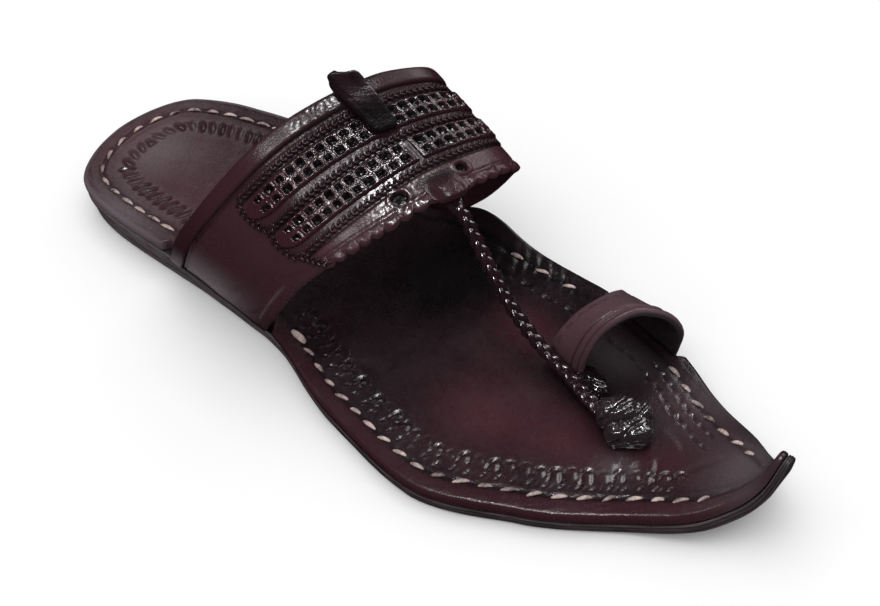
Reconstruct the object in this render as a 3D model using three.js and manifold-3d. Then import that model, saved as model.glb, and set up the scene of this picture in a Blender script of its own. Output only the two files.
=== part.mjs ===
// Kolhapuri sandal for the right foot: leather sole, punched instep band, plaited strap and toe loop.
// Millimetres. X runs from the heel to the toe, +Y to the inner side of the foot, +Z up from the floor.
import * as THREE from "three";
import { mergeVertices } from "three/addons/utils/BufferGeometryUtils.js";
import Module from "manifold-3d";

const wasm = await Module();
wasm.setup();

// Driving sizes
const GAP = 0.3;
const SOLE_RUN = 306;
const OUTSOLE_THICKNESS = 4;
const INSOLE_THICKNESS = 4;
const HEEL_LIFT = 7;
const LIFT_FULL_TO = 63;
const LIFT_GONE_AT = 148;
const LIFT_END = 126;
const LIFT_INSET = 0.8;
const LIFT_SLACK = 0.1;
const EDGE_ROUND = 1.2;
const WALL = 2.4;
const TUCK_DEPTH = 10;
const TUCK_INSET = 1;
const TUCK_THICKNESS = 1.6;
const OVERLAY = 1.1;
const FRAME_SHIFT = [-144.4, 3.8, 0];

// Plan outline: run is measured along the sole from the back of the heel, half its half width,
// and centre the offset of its middle towards the inner side
const OUTLINE = [
  { run: 0, half: 0, centre: -3.5 },
  { run: 14, half: 29.2, centre: -2.3 },
  { run: 37, half: 35.6, centre: -0.1 },
  { run: 71, half: 38.2, centre: 2.2 },
  { run: 114, half: 38, centre: 0.3 },
  { run: 157, half: 46, centre: -3.6 },
  { run: 194, half: 48.4, centre: -6.5 },
  { run: 228, half: 39.4, centre: -3.4 },
  { run: 256, half: 24.8, centre: -1.4 },
  { run: 275, half: 16.2, centre: 0.2 },
  { run: 284, half: 10.6, centre: 1.2 },
  { run: 294, half: 5.6, centre: 1.8 },
  { run: SOLE_RUN, half: 3, centre: 3 },
];

// Toe curl: the sole's slope in degrees at each run, and how much of its thickness is left there
const CURL = [
  { run: 0, slope: 0, thickness: 1 },
  { run: 238, slope: 0, thickness: 1 },
  { run: 256, slope: 8, thickness: 1 },
  { run: 270, slope: 21, thickness: 0.95 },
  { run: 280, slope: 37, thickness: 0.85 },
  { run: 288, slope: 57, thickness: 0.75 },
  { run: 296, slope: 77, thickness: 0.65 },
  { run: SOLE_RUN, slope: 86, thickness: 0.5 },
];

// Where the sole's edge cups upwards beside the front of the band: side is +1 inner, -1 outer
const CUPS = [
  { side: 1, run: 148, length: 15, rise: 9, margin: 18 },
  { side: -1, run: 130, length: 15, rise: 2, margin: 12 },
];

// Instep band from the outer foot over the instep to the inner foot: rear and front edge of each row
const BAND = [
  { rear: [63, -34.6, 4], front: [114.5, -36.6, 3] },
  { rear: [69, -35.4, 13], front: [121, -37.6, 13] },
  { rear: [84, -37.4, 35], front: [134, -38.8, 32] },
  { rear: [103.5, -33, 59.5], front: [147.5, -36, 50] },
  { rear: [111.8, -20.5, 71.5], front: [154.6, -26, 56.5] },
  { rear: [115, -6, 75.2], front: [159.2, -13, 58.6] },
  { rear: [122.5, 8, 79.5], front: [165, 3, 61.2] },
  { rear: [129.5, 22, 80.5], front: [171, 18, 61] },
  { rear: [135, 34, 76.2], front: [171.2, 33, 54.5] },
  { rear: [127, 43.5, 58], front: [160.5, 41.5, 37.5] },
  { rear: [102, 43.5, 31], front: [148.5, 43, 21.5] },
  { rear: [83, 40, 14], front: [139, 40.5, 12] },
  { rear: [74, 37.8, 4], front: [132, 38.4, 4] },
];

// Toe loop from its outer foot, beside the plait, over the big toe to its inner foot
const LOOP = [
  { rear: [200, 7.5, 2], front: [214.5, 6.9, 2] },
  { rear: [201.5, 7.5, 9], front: [215.6, 6.3, 10] },
  { rear: [204, 8.8, 20], front: [217.6, 7.3, 21.5] },
  { rear: [206.8, 15.5, 25.4], front: [220.2, 12.5, 29.5] },
  { rear: [209, 23, 26], front: [225.5, 21, 33] },
  { rear: [209.6, 31, 22.5], front: [231.5, 28.8, 28] },
  { rear: [207.4, 37.2, 16], front: [234, 33.2, 18] },
  { rear: [204.4, 39.4, 9], front: [232.6, 33.6, 9] },
  { rear: [202.6, 39.6, 2], front: [231, 33, 2] },
];

// Plaited strap from under the band to the toe knot
const PLAIT_ROUTE = [
  [160, 8.8, 62.3],
  [170.4, 7.6, 57.4],
  [179, 6, 45.8],
  [186, 4.8, 35],
  [192.4, 4.2, 26.4],
  [201.6, 4, 17.8],
  [212.4, 3.1, 12.8],
  [226.6, -1.4, 11.6],
  [238, -2.8, 13],
];
const PLAIT = { width: 4.8, thickness: 3.2, pitch: 4.4, scallop: 0.35, stationsPerPitch: 2, corners: 6 };

// Toe knot on the insole: lumps of the tied ends
const KNOT_CENTRE = [238, -2.8, 14.1];
const KNOT_LUMPS = [
  { at: [0, 0, 0], radii: [7.2, 5.8, 5] },
  { at: [-4.2, 2.2, 0.6], radii: [3.8, 3.8, 4] },
  { at: [3.6, 3, -0.4], radii: [4, 3.6, 3.8] },
  { at: [2.2, -3.4, -0.2], radii: [4.6, 3.6, 4.2] },
];

// Design of the band across its width: 0 is its rear edge, 1 its front edge. A panel leans forward by its lean
// towards the outer foot.
const BINDING = { from: 0.06, to: 0.94, width: 0.14 };
const PANELS = [
  { name: "rear", from: 0.25, to: 0.435, lean: 0.015 },
  { name: "front", from: 0.525, to: 0.71, lean: 0.055 },
];
const SIDES = [
  { name: "lateral", from: 0.268, to: 0.526 },
  { name: "medial", from: 0.534, to: 0.765 },
];
const HOLES = { columns: 11, rows: 2, size: 2.8, first: 0.11, step: 0.083, rowSpread: 0.92 };
const ROUND_HOLES = [{ along: 0.463, across: 0.872 }, { along: 0.57, across: 0.866 }];
const ROUND_HOLE_RADIUS = 2.6;
const BAND_COLUMNS = 80;
const SCALLOPS = { firstColumn: 22, count: 13, columnsEach: 3, tip: 1.02, depth: 0.03 };

// Centre strip of the band
const CENTRE = 0.52;
const ROLL = { from: -0.02, to: 0.44, rearRadius: 4.4, frontRadius: 3.2, knobRise: 3.6, flatness: 0.8 };
const TAB = { centre: 0.527, from: 0.83, to: 1.06, half: 0.029, thickness: 1.8 };

const COLOURS = {
  brown: 0x3c2024,
  redBrown: 0x4a282b,
  black: 0x1c1416,
};

// Monotone cubic through a table's column, so that no row is overshot
function columnCurve(places, values) {
  const widths = places.slice(1).map((place, i) => place - places[i]);
  const slopes = widths.map((width, i) => (values[i + 1] - values[i]) / width);
  const tangents = values.map((_, i) => {
    if (i === 0) return slopes[0];
    if (i === values.length - 1) return slopes[i - 1];
    if (slopes[i - 1] * slopes[i] <= 0) return 0;
    const before = 2 * widths[i] + widths[i - 1];
    const after = widths[i] + 2 * widths[i - 1];
    return (before + after) / (before / slopes[i - 1] + after / slopes[i]);
  });
  return (place) => {
    const found = places.findIndex((end, i) => i > 0 && place <= end);
    const i = found < 0 ? places.length - 2 : found - 1;
    const t = THREE.MathUtils.clamp((place - places[i]) / widths[i], 0, 1);
    const rise = values[i + 1] - values[i];
    const start = widths[i] * tangents[i];
    const end = widths[i] * tangents[i + 1];
    const square = 3 * rise - 2 * start - end;
    const cube = start + end - 2 * rise;
    return values[i] + t * (start + t * (square + t * cube));
  };
}

// The outline is read against an angle, which makes the heel round
const runAngle = (run) => Math.acos(1 - 2 * THREE.MathUtils.clamp(run / SOLE_RUN, 0, 1));
const outlineAngles = OUTLINE.map((row) => runAngle(row.run));
const halfByAngle = columnCurve(outlineAngles, OUTLINE.map((row) => row.half));
const centreByAngle = columnCurve(outlineAngles, OUTLINE.map((row) => row.centre));
const halfWidth = (run) => halfByAngle(runAngle(run));
const centreLine = (run) => centreByAngle(runAngle(run));
const slopeAt = columnCurve(CURL.map((row) => row.run), CURL.map((row) => row.slope));
const thicknessLeft = columnCurve(CURL.map((row) => row.run), CURL.map((row) => row.thickness));

// The curled line of the outsole's bottom, summed up in short steps
const CURL_STEP = 1;
const curlLine = [{ x: 0, z: 0 }];
for (let run = CURL_STEP; run <= SOLE_RUN; run += CURL_STEP) {
  const slope = THREE.MathUtils.degToRad(slopeAt(run - CURL_STEP / 2));
  const last = curlLine[curlLine.length - 1];
  curlLine.push({ x: last.x + CURL_STEP * Math.cos(slope), z: last.z + CURL_STEP * Math.sin(slope) });
}

function cupRise(run, y) {
  let rise = 0;
  for (const cup of CUPS) {
    const inFromEdge = halfWidth(run) - cup.side * (y - centreLine(run));
    const near = THREE.MathUtils.clamp(1 - inFromEdge / cup.margin, 0, 1.5);
    rise += cup.rise * near * near * Math.exp(-(((run - cup.run) / cup.length) ** 2));
  }
  return rise;
}

// Bends a point of the flat sole: cups its edges and curls its toe
function bend(run, y, z) {
  const i = Math.min(Math.floor(run / CURL_STEP), curlLine.length - 2);
  const t = run / CURL_STEP - i;
  const slope = THREE.MathUtils.degToRad(slopeAt(run));
  const height = (z + cupRise(run, y)) * thicknessLeft(run);
  return new THREE.Vector3(
    THREE.MathUtils.lerp(curlLine[i].x, curlLine[i + 1].x, t) - height * Math.sin(slope),
    y,
    THREE.MathUtils.lerp(curlLine[i].z, curlLine[i + 1].z, t) + height * Math.cos(slope),
  );
}

const outsoleBottom = (run) => {
  return (HEEL_LIFT + GAP) * (1 - THREE.MathUtils.smoothstep(run, LIFT_FULL_TO, LIFT_GONE_AT));
};
const outsoleTop = (run) => outsoleBottom(run) + OUTSOLE_THICKNESS;
const insoleBottom = (run) => outsoleTop(run) + GAP;
const insoleTop = (run) => insoleBottom(run) + INSOLE_THICKNESS;

// A closed mesh between two sheets that share one grid. The first faces the way that a right-handed turn from
// its columns to its rows points.
function sheetSolid(columns, rows, facing, backing) {
  const positions = [];
  for (const sheet of [facing, backing]) {
    for (let i = 0; i <= columns; i += 1) {
      for (let j = 0; j <= rows; j += 1) positions.push(...sheet(i / columns, j / rows).toArray());
    }
  }
  const sheetSize = (columns + 1) * (rows + 1);
  const at = (side, i, j) => side * sheetSize + i * (rows + 1) + j;
  const triangles = [];
  const quad = (a, b, c, d) => triangles.push(a, b, c, a, c, d);
  for (let i = 0; i < columns; i += 1) {
    for (let j = 0; j < rows; j += 1) {
      quad(at(0, i, j), at(0, i + 1, j), at(0, i + 1, j + 1), at(0, i, j + 1));
      quad(at(1, i, j), at(1, i, j + 1), at(1, i + 1, j + 1), at(1, i + 1, j));
    }
    quad(at(1, i, 0), at(1, i + 1, 0), at(0, i + 1, 0), at(0, i, 0));
    quad(at(0, i, rows), at(0, i + 1, rows), at(1, i + 1, rows), at(1, i, rows));
  }
  for (let j = 0; j < rows; j += 1) {
    quad(at(0, 0, j), at(0, 0, j + 1), at(1, 0, j + 1), at(1, 0, j));
    quad(at(1, columns, j), at(1, columns, j + 1), at(0, columns, j + 1), at(0, columns, j));
  }
  const geometry = new THREE.BufferGeometry();
  geometry.setAttribute("position", new THREE.Float32BufferAttribute(positions, 3));
  geometry.setIndex(triangles);
  return geometry;
}

function toSolid(geometry) {
  const bare = geometry.clone();
  bare.deleteAttribute("normal");
  bare.deleteAttribute("uv");
  const merged = mergeVertices(bare, 1e-4);
  const mesh = new wasm.Mesh({
    numProp: 3,
    vertProperties: new Float32Array(merged.attributes.position.array),
    triVerts: new Uint32Array(merged.index.array),
  });
  mesh.merge();
  return new wasm.Manifold(mesh);
}

function toGeometry(solid) {
  const mesh = solid.getMesh();
  const geometry = new THREE.BufferGeometry();
  geometry.setAttribute("position", new THREE.Float32BufferAttribute(mesh.vertProperties, 3));
  geometry.setIndex(Array.from(mesh.triVerts));
  return geometry;
}

const joined = (solids) => solids.reduce((whole, solid) => whole.add(solid));

// One layer of the sole between two heights. The top edge is rounded off by edgeRound.
const ACROSS = [-1, -0.965, -0.7, 0, 0.7, 0.965, 1];
function soleLayer({ from, to, stations, inset, bottom, top, edgeRound }) {
  const first = runAngle(from);
  const last = runAngle(to);
  const runAt = (a) => (SOLE_RUN * (1 - Math.cos(THREE.MathUtils.lerp(first, last, a)))) / 2;
  const shareAt = (b) => ACROSS[Math.round(b * (ACROSS.length - 1))];
  const yAt = (run, b) => centreLine(run) + shareAt(b) * (halfWidth(run) - inset);
  const roundAt = (b) => (b === 0 || b === 1 ? edgeRound : 0);
  const sheet = (height, round) => (a, b) => {
    const run = runAt(a);
    return bend(run, yAt(run, b), height(run) - round(b));
  };
  return sheetSolid(stations, ACROSS.length - 1, sheet(top, roundAt), sheet(bottom, () => 0));
}

// A strap's middle surface: along runs over the foot from its outer side, across from rear edge to front
function strapSurface(table) {
  const edge = (name) => new THREE.CatmullRomCurve3(
    table.map((row) => new THREE.Vector3(...row[name])), false, "centripetal");
  const rear = edge("rear");
  const front = edge("front");
  const point = (along, across) => {
    const clamped = THREE.MathUtils.clamp(along, 0, 1);
    return rear.getPoint(clamped).lerp(front.getPoint(clamped), across);
  };
  const normal = (along, across) => {
    const step = 0.004;
    const alongWay = point(along + step, across).sub(point(along - step, across));
    const acrossWay = point(along, across + step).sub(point(along, across - step));
    return acrossWay.cross(alongWay).normalize();
  };
  return (along, across, height) => point(along, across).addScaledVector(normal(along, across), height);
}

const band = strapSurface(BAND);
const loop = strapSurface(LOOP);

// A piece of a strap between two heights over its middle surface, which its columns and rows face from inside
function strapPiece(surface, { columns, rows, along, across, low, high }) {
  const sheet = (height) => (a, b) => surface(along(a), across(a, b), height);
  return sheetSolid(columns, rows, sheet(low), sheet(high));
}

const span = (from, to) => (a) => THREE.MathUtils.lerp(from, to, a);

// The band's front edge is pinked into small scallops between its smooth sides
function bandFrontEdge(along) {
  const place = (along * BAND_COLUMNS - SCALLOPS.firstColumn) / SCALLOPS.columnsEach;
  if (place < 0 || place > SCALLOPS.count) return 1;
  return SCALLOPS.tip - SCALLOPS.depth * (1 - Math.abs(Math.sin(Math.PI * place)));
}

// The band's wall, or the room it takes up: margin is the room at its edges, as a share of its width
function bandWall(low, high, margin) {
  return strapPiece(band, {
    columns: BAND_COLUMNS,
    rows: 1,
    along: span(0, 1),
    across: (a, b) => THREE.MathUtils.lerp(-margin, bandFrontEdge(a) + margin, b),
    low,
    high,
  });
}

// The loop's wall or its room, from a place along it to its inner foot
function loopWall(low, high, margin, from) {
  return strapPiece(loop, {
    columns: 28,
    rows: 1,
    along: span(from, 1),
    across: (a, b) => THREE.MathUtils.lerp(-margin, 1 + margin, b),
    low,
    high,
  });
}

// The outsole, or what it takes up with a gap over it
const FULL_SOLE = { from: 0.6, to: SOLE_RUN, stations: 40, inset: 0 };
function outsoleLayer(slack) {
  return soleLayer({
    ...FULL_SOLE,
    bottom: (run) => outsoleBottom(run) - slack,
    top: (run) => outsoleTop(run) + slack,
    edgeRound: 0,
  });
}

// All that lies lower than the outsole's top, also beside it
function underSlab() {
  const reach = 20;
  const depth = 20;
  return soleLayer({
    ...FULL_SOLE,
    to: 262,
    inset: -reach,
    bottom: (run) => outsoleTop(run) - depth,
    top: outsoleTop,
    edgeRound: 0,
  });
}

// A flat end of a strap, tucked inwards between outsole and insole along one edge of the sole
function tuckedEnd(side, from, to, slack) {
  const edge = (run, inFromEdge) => centreLine(run) + side * (halfWidth(run) - inFromEdge);
  const outer = (run) => edge(run, TUCK_INSET - 10 * slack);
  const inner = (run) => edge(run, TUCK_INSET + TUCK_DEPTH + slack);
  const runAt = (a) => THREE.MathUtils.lerp(from - slack, to + slack, a);
  const yAt = (run, b) => THREE.MathUtils.lerp(inner(run), outer(run), side > 0 ? b : 1 - b);
  const sheet = (height) => (a, b) => {
    const run = runAt(a);
    return bend(run, yAt(run, b), outsoleTop(run) + height);
  };
  return toSolid(sheetSolid(12, 2, sheet(GAP + TUCK_THICKNESS + slack), sheet(GAP - 2 * slack)));
}

const TUCKS = [
  { side: -1, from: 68, to: 119 },
  { side: 1, from: 80, to: 136 },
  { side: 1, from: 204, to: 231 },
];
const tucks = (slack) => joined(TUCKS.map((tuck) => tuckedEnd(tuck.side, tuck.from, tuck.to, slack)));

// The plait is one strap whose edges swell at each crossing of its strands
function plait() {
  const route = new THREE.CatmullRomCurve3(PLAIT_ROUTE.map((place) => new THREE.Vector3(...place)));
  const length = route.getLength();
  const sideways = new THREE.Vector3(0, 1, 0);
  const stations = Math.round((length / PLAIT.pitch) * PLAIT.stationsPerPitch);
  const ring = (a, b) => {
    const middle = route.getPointAt(a);
    const ahead = route.getTangentAt(a);
    const upward = new THREE.Vector3().crossVectors(ahead, sideways).normalize().negate();
    const swell = PLAIT.scallop * Math.cos((2 * Math.PI * a * length) / PLAIT.pitch);
    const turn = 2 * Math.PI * b;
    middle.addScaledVector(sideways, (PLAIT.width / 2 + swell) * Math.cos(turn));
    return middle.addScaledVector(upward, (PLAIT.thickness / 2) * Math.sin(turn));
  };
  return tubeSolid(stations, PLAIT.corners, ring);
}

// A closed tube of rings, capped at both ends
function tubeSolid(stations, corners, ring) {
  const positions = [];
  for (let i = 0; i <= stations; i += 1) {
    for (let j = 0; j < corners; j += 1) positions.push(...ring(i / stations, j / corners).toArray());
  }
  const at = (i, j) => i * corners + (j % corners);
  const triangles = [];
  for (let i = 0; i < stations; i += 1) {
    for (let j = 0; j < corners; j += 1) {
      triangles.push(at(i, j), at(i + 1, j), at(i + 1, j + 1), at(i, j), at(i + 1, j + 1), at(i, j + 1));
    }
  }
  for (let j = 1; j < corners - 1; j += 1) {
    triangles.push(at(0, 0), at(0, j), at(0, j + 1));
    triangles.push(at(stations, 0), at(stations, j + 1), at(stations, j));
  }
  const geometry = new THREE.BufferGeometry();
  geometry.setAttribute("position", new THREE.Float32BufferAttribute(positions, 3));
  geometry.setIndex(triangles);
  return geometry;
}

function knot(slack) {
  return joined(KNOT_LUMPS.map((lump) => {
    const ball = new THREE.SphereGeometry(1, 8, 5);
    ball.scale(...lump.radii.map((radius) => radius + slack));
    ball.translate(...KNOT_CENTRE.map((middle, axis) => middle + lump.at[axis]));
    return toSolid(ball);
  }));
}

// A punch through a strap at one place: a bar along its local y, turned so that its local x runs along the strap
function punch(surface, along, across, low, high, barOfLength) {
  const bottom = surface(along, across, low);
  const top = surface(along, across, high);
  const aim = top.clone().sub(bottom).normalize();
  const ahead = surface(along + 0.01, across, low).sub(surface(along - 0.01, across, low));
  const beside = new THREE.Vector3().crossVectors(ahead, aim).normalize();
  const bar = barOfLength(top.distanceTo(bottom));
  bar.applyMatrix4(new THREE.Matrix4().makeBasis(new THREE.Vector3().crossVectors(aim, beside), aim, beside));
  const middle = bottom.add(top).multiplyScalar(0.5);
  bar.translate(middle.x, middle.y, middle.z);
  return toSolid(bar);
}

const OVERLAY_LOW = WALL / 2 + GAP;
const OVERLAY_HIGH = OVERLAY_LOW + OVERLAY;

// A punched panel on one half of the band, with a round end towards the side of the foot
function punchedPanel(panel, side) {
  const middle = (panel.from + panel.to) / 2;
  const half = (panel.to - panel.from) / 2;
  const roundShare = 0.14;
  const lateral = side.name === "lateral";
  const inFromEnd = (a) => (lateral ? a : 1 - a) ** 1.5;
  const fullness = (a) => {
    const into = Math.min(inFromEnd(a) / roundShare, 1);
    return Math.max(Math.sqrt(1 - (1 - into) ** 2), 0.3);
  };
  const place = (share) => THREE.MathUtils.lerp(side.from, side.to, lateral ? share : 1 - share);
  const line = (share) => middle + (lateral ? panel.lean * (1 - share) : 0);
  let solid = toSolid(strapPiece(band, {
    columns: 12,
    rows: 1,
    along: (a) => place(inFromEnd(a)),
    across: (a, b) => line(inFromEnd(a)) + (2 * b - 1) * half * fullness(a),
    low: OVERLAY_LOW,
    high: OVERLAY_HIGH,
  }));
  for (let row = 0; row < HOLES.rows; row += 1) {
    for (let column = 0; column < HOLES.columns; column += 1) {
      const share = HOLES.first + HOLES.step * column;
      const across = line(share) + (row - 0.5) * half * HOLES.rowSpread;
      const reach = 1.5;
      const bar = (length) => new THREE.BoxGeometry(HOLES.size, length, HOLES.size);
      solid = solid.subtract(punch(band, place(share), across, OVERLAY_LOW - reach, OVERLAY_HIGH + reach, bar));
    }
  }
  return solid;
}

// Rolled strip along the middle of the band, its rear end standing up as a knob
function centreRoll() {
  const corners = 8;
  const ring = (a, b) => {
    const across = THREE.MathUtils.lerp(ROLL.from, ROLL.to, a);
    const full = THREE.MathUtils.lerp(ROLL.rearRadius, ROLL.frontRadius, a);
    const radius = full * Math.sqrt(Math.max(1 - (2 * a - 1) ** 8, 0.12));
    const lift = OVERLAY_HIGH + GAP + full * ROLL.flatness + ROLL.knobRise * (1 - Math.min(a * 2.2, 1)) ** 2;
    const middle = band(CENTRE, across, lift);
    const sideways = band(CENTRE + 0.01, across, lift).sub(band(CENTRE - 0.01, across, lift)).normalize();
    const upward = band(CENTRE, across, lift + 1).sub(middle);
    const turn = -2 * Math.PI * b;
    middle.addScaledVector(sideways, radius * Math.cos(turn));
    return middle.addScaledVector(upward, radius * ROLL.flatness * Math.sin(turn));
  };
  return tubeSolid(12, corners, ring);
}

// Rounded tab over the root of the plait, bent down a little past the band's front edge
function frontTab() {
  const bow = (b) => Math.sqrt(Math.max(1 - Math.max((b - 0.45) / 0.55, 0) ** 2, 0.1));
  return strapPiece(band, {
    columns: 6,
    rows: 2,
    along: span(TAB.centre - TAB.half, TAB.centre + TAB.half),
    across: (a, b) => THREE.MathUtils.lerp(TAB.from, 1 + (TAB.to - 1) * bow(Math.abs(2 * a - 1)), b),
    low: OVERLAY_LOW,
    high: OVERLAY_LOW + TAB.thickness,
  });
}

function rearBinding() {
  return strapPiece(band, {
    columns: 36,
    rows: 1,
    along: span(BINDING.from, BINDING.to),
    across: (a, b) => b * BINDING.width,
    low: OVERLAY_LOW,
    high: OVERLAY_HIGH,
  });
}

// The upper: band, plait and toe loop in one solid, standing on the outsole
const bandHoles = joined(ROUND_HOLES.map((hole) => {
  const bar = (length) => new THREE.CylinderGeometry(ROUND_HOLE_RADIUS, ROUND_HOLE_RADIUS, length, 10);
  return punch(band, hole.along, hole.across, -WALL, WALL, bar);
}));
const straps = joined([
  toSolid(bandWall(-WALL / 2, WALL / 2, 0)),
  toSolid(loopWall(-WALL / 2, WALL / 2, 0, 0)),
  toSolid(plait()),
]);
const upper = straps
  .subtract(bandHoles)
  .subtract(toSolid(underSlab()))
  .add(tucks(0))
  .subtract(toSolid(outsoleLayer(GAP)))
  .subtract(knot(GAP));

// The insole is cut away where the straps pass its edge, over their tucked ends, and at the loop's slot
const OUTER_CLEARANCE = 7;
const LOOP_INNER_HALF = 0.6;
const BAND_MARGIN = GAP / 50;
const LOOP_MARGIN = GAP / 14;
const insoleBlank = toSolid(soleLayer({
  ...FULL_SOLE,
  bottom: insoleBottom,
  top: insoleTop,
  edgeRound: EDGE_ROUND,
}));
const insole = insoleBlank
  .subtract(toSolid(bandWall(-WALL / 2 - GAP, OUTER_CLEARANCE, BAND_MARGIN)))
  .subtract(toSolid(loopWall(-WALL / 2 - GAP, WALL / 2 + GAP, LOOP_MARGIN, 0)))
  .subtract(toSolid(loopWall(-WALL / 2 - GAP, OUTER_CLEARANCE, LOOP_MARGIN, LOOP_INNER_HALF)))
  .subtract(tucks(GAP));

const heelLift = soleLayer({
  from: 1.4,
  to: LIFT_END,
  stations: 16,
  inset: LIFT_INSET,
  bottom: () => 0,
  top: (run) => outsoleBottom(run) - GAP - LIFT_SLACK,
  edgeRound: 0,
});

const sandal = new THREE.Group();
sandal.name = "kolhapuri_sandal";
sandal.position.set(...FRAME_SHIFT);

function addPiece(name, geometry, colour, roughness) {
  const material = new THREE.MeshStandardMaterial({ color: colour, roughness, metalness: 0 });
  const mesh = new THREE.Mesh(geometry, material);
  mesh.name = name;
  sandal.add(mesh);
}

addPiece("heel_lift", heelLift, COLOURS.black, 0.6);
addPiece("outsole", outsoleLayer(0), COLOURS.black, 0.55);
addPiece("insole", toGeometry(insole), COLOURS.redBrown, 0.4);
addPiece("upper", toGeometry(upper), COLOURS.brown, 0.38);
addPiece("rear_binding", rearBinding(), COLOURS.redBrown, 0.45);
for (const panel of PANELS) {
  for (const side of SIDES) {
    addPiece(`panel_${panel.name}_${side.name}`, toGeometry(punchedPanel(panel, side)), COLOURS.brown, 0.3);
  }
}
addPiece("centre_roll", centreRoll(), COLOURS.brown, 0.4);
addPiece("front_tab", frontTab(), COLOURS.redBrown, 0.4);
addPiece("toe_knot", toGeometry(knot(0)), COLOURS.black, 0.45);

export default sandal;
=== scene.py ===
"""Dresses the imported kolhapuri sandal: leather, stitching, plaits, punched panels and a stage.

Shapes are worked out in millimetres in the sandal's own frame (x from the back of the heel, y
towards the inner side of the foot, z up from the floor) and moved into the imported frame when
they become meshes.
"""

import bmesh
import bpy
import numpy as np
from mathutils import Matrix, Vector


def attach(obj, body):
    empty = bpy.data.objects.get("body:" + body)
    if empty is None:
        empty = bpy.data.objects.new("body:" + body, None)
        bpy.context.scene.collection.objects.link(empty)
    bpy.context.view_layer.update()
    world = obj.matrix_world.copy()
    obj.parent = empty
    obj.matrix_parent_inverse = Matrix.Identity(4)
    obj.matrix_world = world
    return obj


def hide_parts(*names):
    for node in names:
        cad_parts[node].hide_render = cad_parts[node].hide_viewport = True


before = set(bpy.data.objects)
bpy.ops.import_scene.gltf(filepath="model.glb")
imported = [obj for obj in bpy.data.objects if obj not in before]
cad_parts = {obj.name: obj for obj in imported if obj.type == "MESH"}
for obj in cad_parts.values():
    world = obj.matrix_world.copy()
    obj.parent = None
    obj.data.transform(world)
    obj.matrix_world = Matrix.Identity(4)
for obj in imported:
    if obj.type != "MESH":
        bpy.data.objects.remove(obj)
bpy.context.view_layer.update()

bl_info = {
    "name": "Kolhapuri Sandal",
    "version": (1, 0, 0),
    "blender": (4, 5, 0),
    "location": "View3D > Sidebar > Sandal",
    "description": "Dresses the packed sandal with leather, stitching, plaits and a stage",
    "category": "Object",
}

# Sizes shared with the part's solids, mm
FRAME_SHIFT = np.array([-144.4, 3.8, 0.0])
GAP = 0.3
SOLE_RUN = 306.0
LAYER = 4.0
HEEL_LIFT = 7.0
LIFT_FULL_TO = 63.0
LIFT_GONE_AT = 148.0
LIFT_END = 126.0
LIFT_INSET = 0.8
WALL = 2.4
OVERLAY = 1.1
OVERLAY_LOW = WALL / 2 + GAP
OVERLAY_HIGH = OVERLAY_LOW + OVERLAY

# Plan outline: run along the sole, half width, offset of the middle
OUTLINE = np.array([
    (0, 0, -3.5), (14, 29.2, -2.3), (37, 35.6, -0.1), (71, 38.2, 2.2), (114, 38, 0.3),
    (157, 46, -3.6), (194, 48.4, -6.5), (228, 39.4, -3.4), (256, 24.8, -1.4), (275, 16.2, 0.2),
    (284, 10.6, 1.2), (294, 5.6, 1.8), (306, 3, 3),
])
# Toe curl: run, slope in degrees, share of the thickness left
CURL = np.array([
    (0, 0, 1), (238, 0, 1), (256, 8, 1), (270, 21, 0.95), (280, 37, 0.85),
    (288, 57, 0.75), (296, 77, 0.65), (306, 86, 0.5),
])
# Where the sole's edge cups upwards: side, run, length, rise, margin
CUPS = [(1, 148, 15, 9, 18), (-1, 130, 15, 2, 12)]
# Instep band from its outer to its inner foot: rear edge, front edge
BAND = np.array([
    [(63, -34.6, 4), (114.5, -36.6, 3)],
    [(69, -35.4, 13), (121, -37.6, 13)],
    [(84, -37.4, 35), (134, -38.8, 32)],
    [(103.5, -33, 59.5), (147.5, -36, 50)],
    [(111.8, -20.5, 71.5), (154.6, -26, 56.5)],
    [(115, -6, 75.2), (159.2, -13, 58.6)],
    [(122.5, 8, 79.5), (165, 3, 61.2)],
    [(129.5, 22, 80.5), (171, 18, 61)],
    [(135, 34, 76.2), (171.2, 33, 54.5)],
    [(127, 43.5, 58), (160.5, 41.5, 37.5)],
    [(102, 43.5, 31), (148.5, 43, 21.5)],
    [(83, 40, 14), (139, 40.5, 12)],
    [(74, 37.8, 4), (132, 38.4, 4)],
])
# Toe loop from its outer to its inner foot: rear edge, front edge
LOOP = np.array([
    [(200, 7.5, 2), (214.5, 6.9, 2)],
    [(201.5, 7.5, 9), (215.6, 6.3, 10)],
    [(204, 8.8, 20), (217.6, 7.3, 21.5)],
    [(206.8, 15.5, 25.4), (220.2, 12.5, 29.5)],
    [(209, 23, 26), (225.5, 21, 33)],
    [(209.6, 31, 22.5), (231.5, 28.8, 28)],
    [(207.4, 37.2, 16), (234, 33.2, 18)],
    [(204.4, 39.4, 9), (232.6, 33.6, 9)],
    [(202.6, 39.6, 2), (231, 33, 2)],
])
PLAIT_ROUTE = np.array([
    (160, 8.8, 62.3), (170.4, 7.6, 57.4), (179, 6, 45.8), (186, 4.8, 35), (192.4, 4.2, 26.4),
    (201.6, 4, 17.8), (212.4, 3.1, 12.8), (226.6, -1.4, 11.6), (238, -2.8, 13),
])
# Design of the band: shares across it from its rear edge, and along it from its outer foot
BINDING_WIDTH = 0.14
BINDING_LINE = 0.155
# Panels: from, to, and how far they lean forward towards the outer foot
PANELS = {"rear": (0.25, 0.435, 0.015), "front": (0.525, 0.71, 0.055)}
# Sides: the panels' round ends and the ends at the middle
SIDES = {"lateral": (0.268, 0.526), "medial": (0.765, 0.534)}
HOLE_COLUMNS, HOLE_ROWS = 11, 2
HOLE_FIRST, HOLE_STEP, HOLE_ROW_SPREAD = 0.11, 0.083, 0.92
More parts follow.
